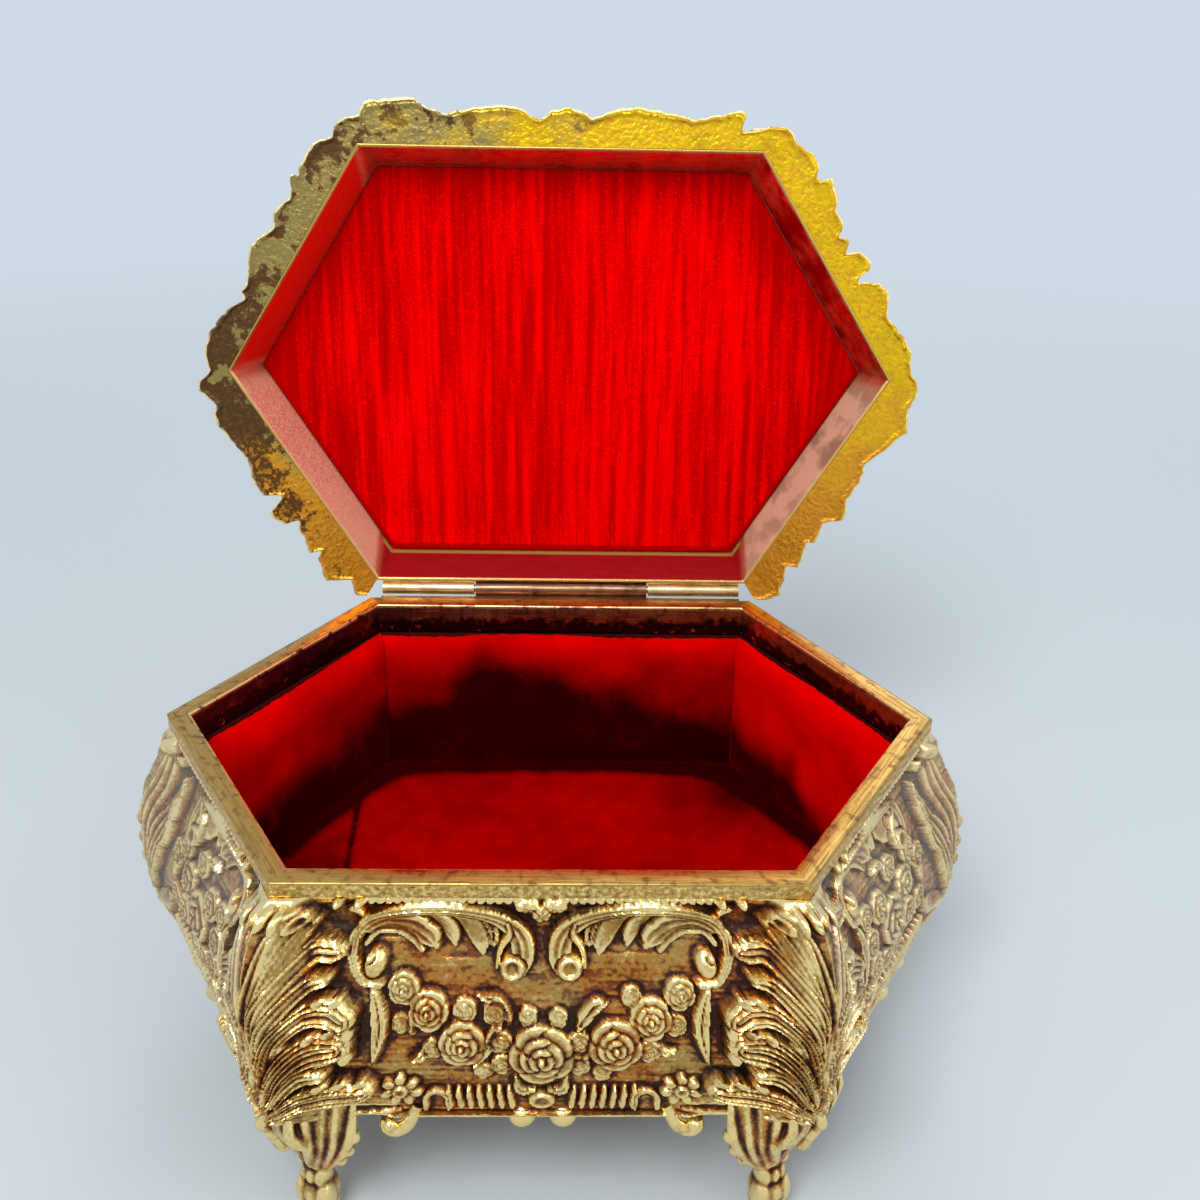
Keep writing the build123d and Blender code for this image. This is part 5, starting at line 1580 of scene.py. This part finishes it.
def padded_panel(name, plan, place, low, thickness, surface):
    """A velvet panel as rings from the middle of its face over its edge to its back."""
    edge, _ = evenly_round(plan(0.0), panel_columns)
    middle = edge.mean(0) * np.array([0, 1])
    scale = np.linspace(0, 1, panel_rings - panel_back_rings) ** 0.85
    flat = middle + (edge - middle)[None] * scale[:, None, None]
    depth = depth_in(plan, flat[..., 0], flat[..., 1], 0.8)
    rolled = np.sqrt(1 - (1 - np.clip(depth / thickness, 0, 1)) ** 2)
    span = 0.45 * (plan(0.0)[3][1] - plan(0.0)[0][1])
    level = low + thickness * (0.45 + 0.55 * rolled) + panel_crown * smooth(0, span, depth)
    level = level + surface(flat[..., 0], flat[..., 1]) * smooth(0, 3, depth)
    scale = np.linspace(1, 0, panel_back_rings + 1)
    back = middle + (edge - middle)[None] * scale[:, None, None]
    back_level = np.full(back.shape[:2], low + 0.02)
    x, y = np.moveaxis(np.concatenate([flat, back]), -1, 0)
    points = place(x, y, np.concatenate([level, back_level]))
    return shaped_ball(name, panel_columns, panel_rings, points)


def floor_pad_plan(grow):
    return rim_hexagon(grow - floor_inset)


def lid_pad_plan(grow):
    return hollow_hexagon(grow - lid_inset)


def from_crease(x, y):
    """Distance from the sewn crease in the floor's velvet."""
    return x + crease_x + crease_slant * y


def floor_surface(x, y):
    crease = -0.55 * np.exp(-((from_crease(x, y) / 0.5) ** 2))
    lips = 0.25 * np.exp(-((np.abs(from_crease(x, y)) - 1.4) ** 2))
    wave = 0.12 * np.sin(x * 0.35 + 1) * np.sin(y * 0.3) + 0.08 * np.sin(x * 0.9 - y * 0.7)
    return crease + lips + wave


def floor_nap(x, y):
    """Painted shade on the floor's velvet: darker in its corners, at the right and at the crease.
    """
    y = y - plan_shift
    nap = 0.5 + 0.06 * np.sin(0.11 * x + 0.4) * np.cos(0.13 * y)
    nap = nap + 0.3 * smooth(8, 36, x) * smooth(8, 30, y) + 0.14 * smooth(-34, -40, x)
    # painted shade in the corners, where the walls meet the floor
    corner = depth_in(floor_pad_plan, x, y, 3.0)
    nap = nap + 0.7 * smooth(6.5, 1.5, corner) * smooth(-8, 12, y)
    stitches = 0.75 + 0.25 * np.cos(2 * pi * y / 2.6)
    nap = nap + 0.7 * stitches * np.exp(-((from_crease(x, y) / 0.42) ** 2))
    return np.clip(nap, 0, 1)


def lid_surface(x, y):
    return 0.08 * np.sin(x * 0.12 + 0.5) * np.sin(y * 0.1) + 0.03 * np.sin(x * 4.2)


def lid_nap(x, z):
    """Painted shade on the lid's velvet: along its lower edges and in a thin line all round."""
    high = (z - hinge_z) / cos(lean)
    inside = depth_in(hollow_hexagon, x, high, 4.0)
    edge = depth_in(lid_pad_plan, x, high, 0.5)
    nap = 0.5 * smooth(15, 2, inside) * smooth(6, 34, high)
    nap = nap + 0.14 * smooth(25, 60, high) * smooth(0, -36, x) + 0.1 * smooth(8, 36, x)
    # a thin painted shadow where the velvet meets the hollow's wall
    nap = nap + 0.9 * smooth(0.8, 0.25, edge + 0.1 * np.sin(1.9 * x) * np.sin(2.3 * high))
    return np.clip(nap, 0, 1)


# ------------------------------------------------------------------ settings


def length_property(name, description, value, low, high):
    return FloatProperty(
        name=name, description=description, default=value, min=low, max=high, unit="LENGTH",
        subtype="DISTANCE", precision=5,
    )


def colour_property(name, description, value):
    return FloatVectorProperty(
        name=name, description=description, default=value, size=3, min=0, max=1, subtype="COLOR"
    )


class CasketSizes(bpy.types.PropertyGroup):
    """Sizes of the casket's finer work."""

    relief_pitch: length_property(
        "Relief pitch", "Distance between points of the carved walls", 0.00023, 0.0001, 0.002
    )
    rim_pitch: length_property(
        "Rim pitch", "Distance between points along the rim", 0.0022, 0.0005, 0.01
    )
    lining_pitch: length_property(
        "Lining pitch", "Distance between points of the velvet walls", 0.0006, 0.0003, 0.004
    )
    lid_columns: IntProperty(
        name="Lid columns", description="Points round the domed lid", default=660, min=120, max=1200
    )
    lid_rings: IntProperty(
        name="Lid rings", description="Rings of points on the domed lid", default=122, min=40,
        max=240,
    )
    border_columns: IntProperty(
        name="Border columns", description="Points along the lid's border", default=1300, min=200,
        max=2400,
    )


class CasketColours(bpy.types.PropertyGroup):
    """Colours of the casket's metals and cloth."""

    deep_patina: colour_property(
        "Deep patina", "Nearly black brown in the deepest hollows", (0.035, 0.014, 0.006)
    )
    brown_patina: colour_property(
        "Brown patina", "Reddish brown in the shallow hollows", (0.20, 0.082, 0.03)
    )
    antique_gold: colour_property(
        "Antique gold", "Toned gilding of the flat places", (0.50, 0.30, 0.075)
    )
    worn_gold: colour_property(
        "Worn gold", "Bright gilding of the rubbed heights", (1.0, 0.75, 0.29)
    )
    rim_gold: colour_property("Rim gold", "Brushed yellow gilding of the rim", (0.62, 0.38, 0.10))
    rim_streak: colour_property("Rim streak", "Duller scratches on the rim", (0.40, 0.22, 0.06))
    border_gold: colour_property(
        "Border gold", "Clean yellow of the lid's border", (0.90, 0.56, 0.015)
    )
    border_dull: colour_property("Border tarnish", "Its worn end", (0.36, 0.27, 0.085))
    border_orange: colour_property(
        "Border orange", "Warmer gilding near the hinge", (0.80, 0.34, 0.03)
    )
    border_stain: colour_property("Border stain", "Tarnish on the border", (0.10, 0.042, 0.02))
    # Paler, greyer colour for the slanted walls: painted light and backdrop reflection
    side_painted_sheen: colour_property("Rubbed gilding", "Paler, greyer sides", (0.80, 0.72, 0.60))
    violet_tarnish: colour_property("Violet tarnish", "Left of the skirt", (0.11, 0.035, 0.045))
    hollow_red: colour_property("Hollow red", "Wall that mirrors the pile", (0.80, 0.012, 0.004))
    hollow_wine: colour_property("Hollow wine", "Darker mirrored pile", (0.36, 0.008, 0.010))
    skirt_brown: colour_property("Skirt brown", "Tarnish inside the rim", (0.36, 0.20, 0.12))
    pin_steel: colour_property("Pin steel", "Wire of the hinge pin", (0.5, 0.47, 0.42))
    pin_streak: colour_property("Pin streak", "Scratches on the pin", (0.32, 0.29, 0.25))
    hollow_sand: colour_property(
        "Hollow sand", "Dry gilding of the hollow beside the hinge", (0.72, 0.44, 0.28)
    )
    hollow_rose: colour_property(
        "Hollow rose", "Red fibres left on the hollow's left wall", (0.72, 0.16, 0.11)
    )
    hollow_gold: colour_property(
        "Hollow gold", "Polished walls round the lid's velvet", (0.85, 0.55, 0.36)
    )
    hinge_gold: colour_property("Hinge gold", "Pale gilding of the hinge", (0.85, 0.68, 0.42))
    base_brass: colour_property("Base brass", "Sheet metal of the bottom", (0.42, 0.31, 0.15))
    lid_red: colour_property("Lid red", "Velvet of the lid", (1.0, 0.0, 0.0))
    # Dark red of the lid velvet's streaks, also mixed in as painted shade near its edges
    lid_shade: colour_property("Lid shade", "Nap of the lid's velvet seen dark", (0.42, 0.0, 0.0))
    # Red of the body's velvet, a little darker than the lid's: painted shade for the inside of the
    # body
    lining_red: colour_property("Lining red", "Velvet of the body", (0.86, 0.0, 0.0))
    # Near-black red mixed into the body's velvet as painted shade
    lining_shade: colour_property(
        "Lining shade", "Nap of the body's velvet seen dark", (0.03, 0.0, 0.0)
    )


class CasketStudio(bpy.types.PropertyGroup):
    """Light, floor and camera."""

    floor_colour: colour_property("Floor", "Pale floor", (0.60, 0.655, 0.69))
    backdrop_colour: colour_property("Backdrop", "Pale backdrop", (0.62, 0.70, 0.79))
    lens: FloatProperty(
        name="Lens", description="Focal length on a 36 mm wide sensor", default=38.9, min=10,
        max=200, unit="CAMERA",
    )
    camera_place: FloatVectorProperty(
        name="Camera place", description="Where the camera stands", size=3, unit="LENGTH",
        subtype="XYZ", default=(0.00757, plan_shift * MM - 0.183629, 0.18048),
    )
    key_power: FloatProperty(
        name="Key light", description="Power of the main soft light in watts", default=3.0, min=0,
        unit="POWER",
    )
    fill_power: FloatProperty(
        name="Fill light", description="Power of the second soft light in watts", default=0.9,
        min=0, unit="POWER",
    )


# ------------------------------------------------------------------ operators

class CASKET_OT_finishes(bpy.types.Operator):
    """Makes the metals, velvets and board that the pieces share"""

    bl_idname = "casket.finishes"
    bl_label = "Finishes"

    def execute(self, context):
        colours = context.scene.casket_colours
        ink = SimpleNamespace(**{
            key: (*getattr(colours, key), 1.0) for key in CasketColours.__annotations__
        })
        groups.update(patina=patina_group(), brushed=brushed_group(), velvet=velvet_group())
        leaf = (120.0, 3000.0, 3000.0), 300.0
        materials.update(
            relief=carved_gilt("antique_gilt_relief", ink),
            sides=carved_gilt("antique_gilt_sides", ink, pale=0.2),
            feet=carved_gilt("antique_gilt_feet", ink, 420.0, 2200.0),
            rim=rim_gilt("brushed_gilt_rim", ink),
            hollow=hollow_gilt("polished_gilt_hollow", ink),
            border=tarnished_gilt("pebbled_gilt_border", ink),
            hinge=brushed_gilt("pale_gilt_hinge", *leaf, ink.hinge_gold, ink.rim_gold,
                               ink.rim_streak, 0.4),
            pin=brushed_gilt("steel_pin", *leaf, ink.pin_steel, ink.pin_streak,
                             ink.brown_patina, 0.4),
            base=brushed_gilt("rolled_brass_base", (60.0, 1400.0, 1400.0), 90.0, ink.base_brass,
                              ink.brown_patina, ink.deep_patina, 0.5),
            board=stiff_board("grey_board", (0.30, 0.24, 0.16), (0.42, 0.35, 0.25)),
            # Near-black red boards: painted shade for the dark gap between the rim's skirt and the
            # velvet
            wall_board=stiff_board("shade_dark_board", (0.02, 0.001, 0.001), (0.08, 0.002, 0.002)),
            body_leaf=brushed_gilt("dull_gilt_hinge", *leaf, ink.skirt_brown, ink.brown_patina,
                                   ink.deep_patina, 0.5),
            lid_velvet=velvet("scarlet_velvet_lid", ink.lid_red, ink.lid_shade,
                              (700.0, 34.0, 34.0), 0.85),
            # the lining's red is darker than the lid's, as painted shade
            lining=velvet("shaded_red_velvet_lining", ink.lining_red, ink.lining_shade,
                          (160.0, 160.0, 110.0), 0.14),
        )
        return {"FINISHED"}


class CASKET_OT_walls(bpy.types.Operator):
    """Six cast walls carved with scrolls, roses and corner leaves"""

    bl_idname = "casket.walls"
    bl_label = "Carved walls"

    def execute(self, context):
        pitch = context.scene.casket_sizes.relief_pitch / MM
        for index, side in enumerate(side_names):
            piece = wrapped_bar("carved_" + side, wall_points(index, pitch))
            extras = []
            if side in ("front", "back"):
                for u, size in long_wall_drops:
                    extras += hanging_drop(index, u, size)
                for mirror in (-1, 1):
                    extras += hooked_drop(index, mirror * hooked_drop_place, mirror)
            else:
                turn = 1 if index % 3 == 1 else -1
                for u, size in slanted_wall_drops:
                    extras += hanging_drop(index, turn * u, size)
            join(piece, *extras)
            store_wear(piece)
            finish = materials["relief" if side in ("front", "back") else "sides"]
            finish_piece(piece, 50, "casket_body", "gilt_relief", finish, "panel_" + side)
        return {"FINISHED"}


class CASKET_OT_feet(bpy.types.Operator):
    """Four cast feet with leaf wings and scrolled tips"""

    bl_idname = "casket.feet"
    bl_label = "Feet"

    def execute(self, context):
        for index, place in ((0, "front_left"), (1, "front_right"), (3, "back_right"),
                             (4, "back_left")):
            piece = foot_piece("cast_foot_" + place, index)
            store_wear(piece, 0.06, 0.22)
            finish_piece(piece, 60, "casket_body", "gilt_relief", materials["feet"],
                         "foot_" + place)
        return {"FINISHED"}


class CASKET_OT_rim(bpy.types.Operator):
    """Six-sided rim with a flat brushed strip and a thin skirt"""

    bl_idname = "casket.rim"
    bl_label = "Rim"

    def execute(self, context):
        outline = rounded(rim_section, 0.35)
        outline = np.vstack([outline, outline[:1] - np.array([[0, 0.01]])])
        pitch = context.scene.casket_sizes.rim_pitch / MM
        piece = mitred_ring(
            "brushed_rim", rim_hexagon, outline,
            lambda x, y, level: body_place(x, y, rim_top + level), pitch, 0.05, 3,
        )
        finish_piece(piece, 40, "casket_body", "gilt_rim", materials["rim"], "rim_frame")
        return {"FINISHED"}


class CASKET_OT_lid(bpy.types.Operator):
    """Domed lid with carved outside, scalloped border and the frame of its hollow"""

    bl_idname = "casket.lid"
    bl_label = "Lid"

    def execute(self, context):
        sizes = context.scene.casket_sizes
        rings = sizes.lid_rings
        dome = shaped_ball("carved_dome", sizes.lid_columns, rings + len(under_insets),
                           lid_dome_points(sizes.lid_columns, rings))
        store_wear(dome, 0.12, 0.5)
        finish_piece(dome, 50, "lid", "gilt_relief", materials["relief"], "lid_casting")
        border = wrapped_bar("scalloped_border", border_points(sizes.border_columns),
                             span=border_span(sizes.border_columns))
        store_wear(border, 0.2, 0.8)
        finish_piece(border, 60, "lid", "gilt_relief", materials["border"], "lid_casting")
        outline = rounded(hollow_section, 0.3)
        hollow = mitred_ring(
            "hollow_frame", hollow_hexagon, outline, lid_place, sizes.rim_pitch / MM, 0.04, 5
        )
        finish_piece(hollow, 40, "lid", "gilt_rim", materials["hollow"], "lid_frame")
        return {"FINISHED"}


class CASKET_OT_velvet(bpy.types.Operator):
    """Padded velvet of the walls, the floor and the lid"""

    bl_idname = "casket.velvet"
    bl_label = "Velvet"

    def execute(self, context):
        pitch = context.scene.casket_sizes.lining_pitch / MM
        for index, side in enumerate(side_names):
            # the second result is painted shade for the velvet wall
            points, nap = lining_points(index, pitch, 60 + index)
            piece = wrapped_bar("velvet_wall_" + side, points, nap=nap)
            finish_piece(piece, 70, "casket_body", "lining_velvet", materials["lining"],
                         "lining_" + side)
        piece = padded_panel("velvet_floor", floor_pad_plan, body_place, floor_level, floor_thick,
                             floor_surface)
        store(piece, "nap", floor_nap(*coordinates(piece)[:2]))
        finish_piece(piece, 70, "casket_body", "lining_velvet", materials["lining"], "floor_pad")
        piece = padded_panel("velvet_lid_panel", lid_pad_plan, lid_place, lid_level, lid_thick,
                             lid_surface)
        store(piece, "nap", lid_nap(*coordinates(piece)[::2]))
        finish_piece(piece, 70, "lid", "lid_velvet_cloth", materials["lid_velvet"], "lid_velvet")
        return {"FINISHED"}


class CASKET_OT_fittings(bpy.types.Operator):
    """Finishes of the hinge, the bottom and the boards, whose shapes are already right"""

    bl_idname = "casket.fittings"
    bl_label = "Hinge and boards"

    def execute(self, context):
        finish = {"hinge_leaf_body": "body_leaf", "hinge_leaf_lid": "hinge", "hinge_pin": "pin",
                  "base_plate": "base", "floor_board": "board", "lid_board": "board"}
        finish.update({"wall_board_" + side: "wall_board" for side in side_names})
        for name, key in finish.items():
            slots = frame["nodes"][name].material_slots
            if not slots:
                raise RuntimeError("the node " + name + " has no material slot")
            for slot in slots:
                slot.material = materials[key]
        return {"FINISHED"}


class CASKET_OT_stage(bpy.types.Operator):
    """Pale floor and backdrop, soft lights and the camera"""

    bl_idname = "casket.stage"
    bl_label = "Studio"

    def execute(self, context):
        studio = context.scene.casket_studio
        backdrop = (*studio.backdrop_colour, 1.0)
        self.floor(studio, backdrop)
        self.world(context, backdrop)
        self.lights(studio)
        self.camera(context, studio)
        return {"FINISHED"}

    def seen(self, tree):
        """1 for rays from the camera and for mirrored or refracted ones."""
        path = node(tree, "LightPath")
        seen = Value(path, "Is Camera Ray").math("MAXIMUM", Value(path, "Is Glossy Ray"))
        return seen.math("MAXIMUM", Value(path, "Is Transmission Ray"))

    def floor(self, studio, backdrop):
        """A pale floor that keeps the shadow nearby and fades into the backdrop far away."""
        deselect()
        bpy.ops.mesh.primitive_plane_add(size=8)
        floor = named("studio_floor")
        material, tree, shader = new_material("studio_floor")
        feed(shader, {
            "Base Color": (*studio.floor_colour, 1.0), "Roughness": 0.8, "Specular IOR Level": 0.0,
        })
        away = node(tree, "VectorMath", {0: object_place(tree)}, operation="LENGTH")
        share = self.seen(tree) * Value(away, "Value").ranged(0.12, 0.75)
        glow = node(tree, "Emission", {"Color": backdrop})
        blend = node(tree, "MixShader", {0: share, 1: Value(shader), 2: Value(glow)})
        feed(tree.nodes["Material Output"], {"Surface": Value(blend)})
        floor.data.materials.append(material)

    def world(self, context, backdrop):
        world = bpy.data.worlds.new("studio")
        context.scene.world = world
        world.use_nodes = True
        tree = world.node_tree
        colour = self.seen(tree).mixed(room_light, backdrop)
        feed(tree.nodes["Background"], {"Color": colour, "Strength": 1.0})

    def lights(self, studio):
        powers = {"key_light": studio.key_power}
        for name, size, place in studio_lights:
            lamp = bpy.data.lights.new(name, "AREA")
            lamp.energy, lamp.size = powers.get(name, studio.fill_power), size
            holder = bpy.data.objects.new(name, lamp)
            bpy.context.scene.collection.objects.link(holder)
            holder.location = place
            away = Vector(place) - Vector(lit_point)
            holder.rotation_euler = away.to_track_quat("Z", "Y").to_euler()

    def camera(self, context, studio):
        ahead = Vector(view_direction).normalized()
        right = ahead.cross(Vector((0, 0, 1))).normalized()
        up = right.cross(ahead)
        turned = right * cos(view_roll) + up * sin(view_roll)
        upright = up * cos(view_roll) - right * sin(view_roll)
        data = bpy.data.cameras.new("camera")
        camera = bpy.data.objects.new("camera", data)
        context.scene.collection.objects.link(camera)
        turn = Matrix((turned, upright, -ahead)).transposed().to_4x4()
        camera.matrix_world = Matrix.Translation(studio.camera_place) @ turn
        data.sensor_width = 36
        data.lens = studio.lens
        data.shift_x, data.shift_y = view_shift
        data.clip_start = 0.01
        context.scene.camera = camera


class CASKET_PT_panel(bpy.types.Panel):
    """Lists the casket's pieces and their settings"""

    bl_idname = "CASKET_PT_panel"
    bl_label = "Jewelry casket"
    bl_space_type = "VIEW_3D"
    bl_region_type = "UI"
    bl_category = "Casket"

    def draw(self, context):
        scene = context.scene
        for step in steps:
            self.layout.operator("casket." + step)
        for settings in (scene.casket_sizes, scene.casket_colours, scene.casket_studio):
            box = self.layout.box()
            for key in settings.__annotations__:
                box.prop(settings, key)


steps = ["finishes", "walls", "feet", "rim", "lid", "velvet", "fittings", "stage"]
settings_groups = {
    "casket_sizes": CasketSizes, "casket_colours": CasketColours, "casket_studio": CasketStudio,
}
classes = [
    *settings_groups.values(), CASKET_OT_finishes, CASKET_OT_walls, CASKET_OT_feet, CASKET_OT_rim,
    CASKET_OT_lid, CASKET_OT_velvet, CASKET_OT_fittings, CASKET_OT_stage, CASKET_PT_panel,
]


def register():
    for each in classes:
        bpy.utils.register_class(each)
    for name, group in settings_groups.items():
        setattr(bpy.types.Scene, name, PointerProperty(type=group))


def unregister():
    for name in settings_groups:
        delattr(bpy.types.Scene, name)
    for each in reversed(classes):
        bpy.utils.unregister_class(each)


def main():
    register()
    view_settings = bpy.context.scene.view_settings
    view_settings.view_transform = "Standard"
    for step in steps:
        getattr(bpy.ops.casket, step)()


if __name__ == "__main__":
    main()
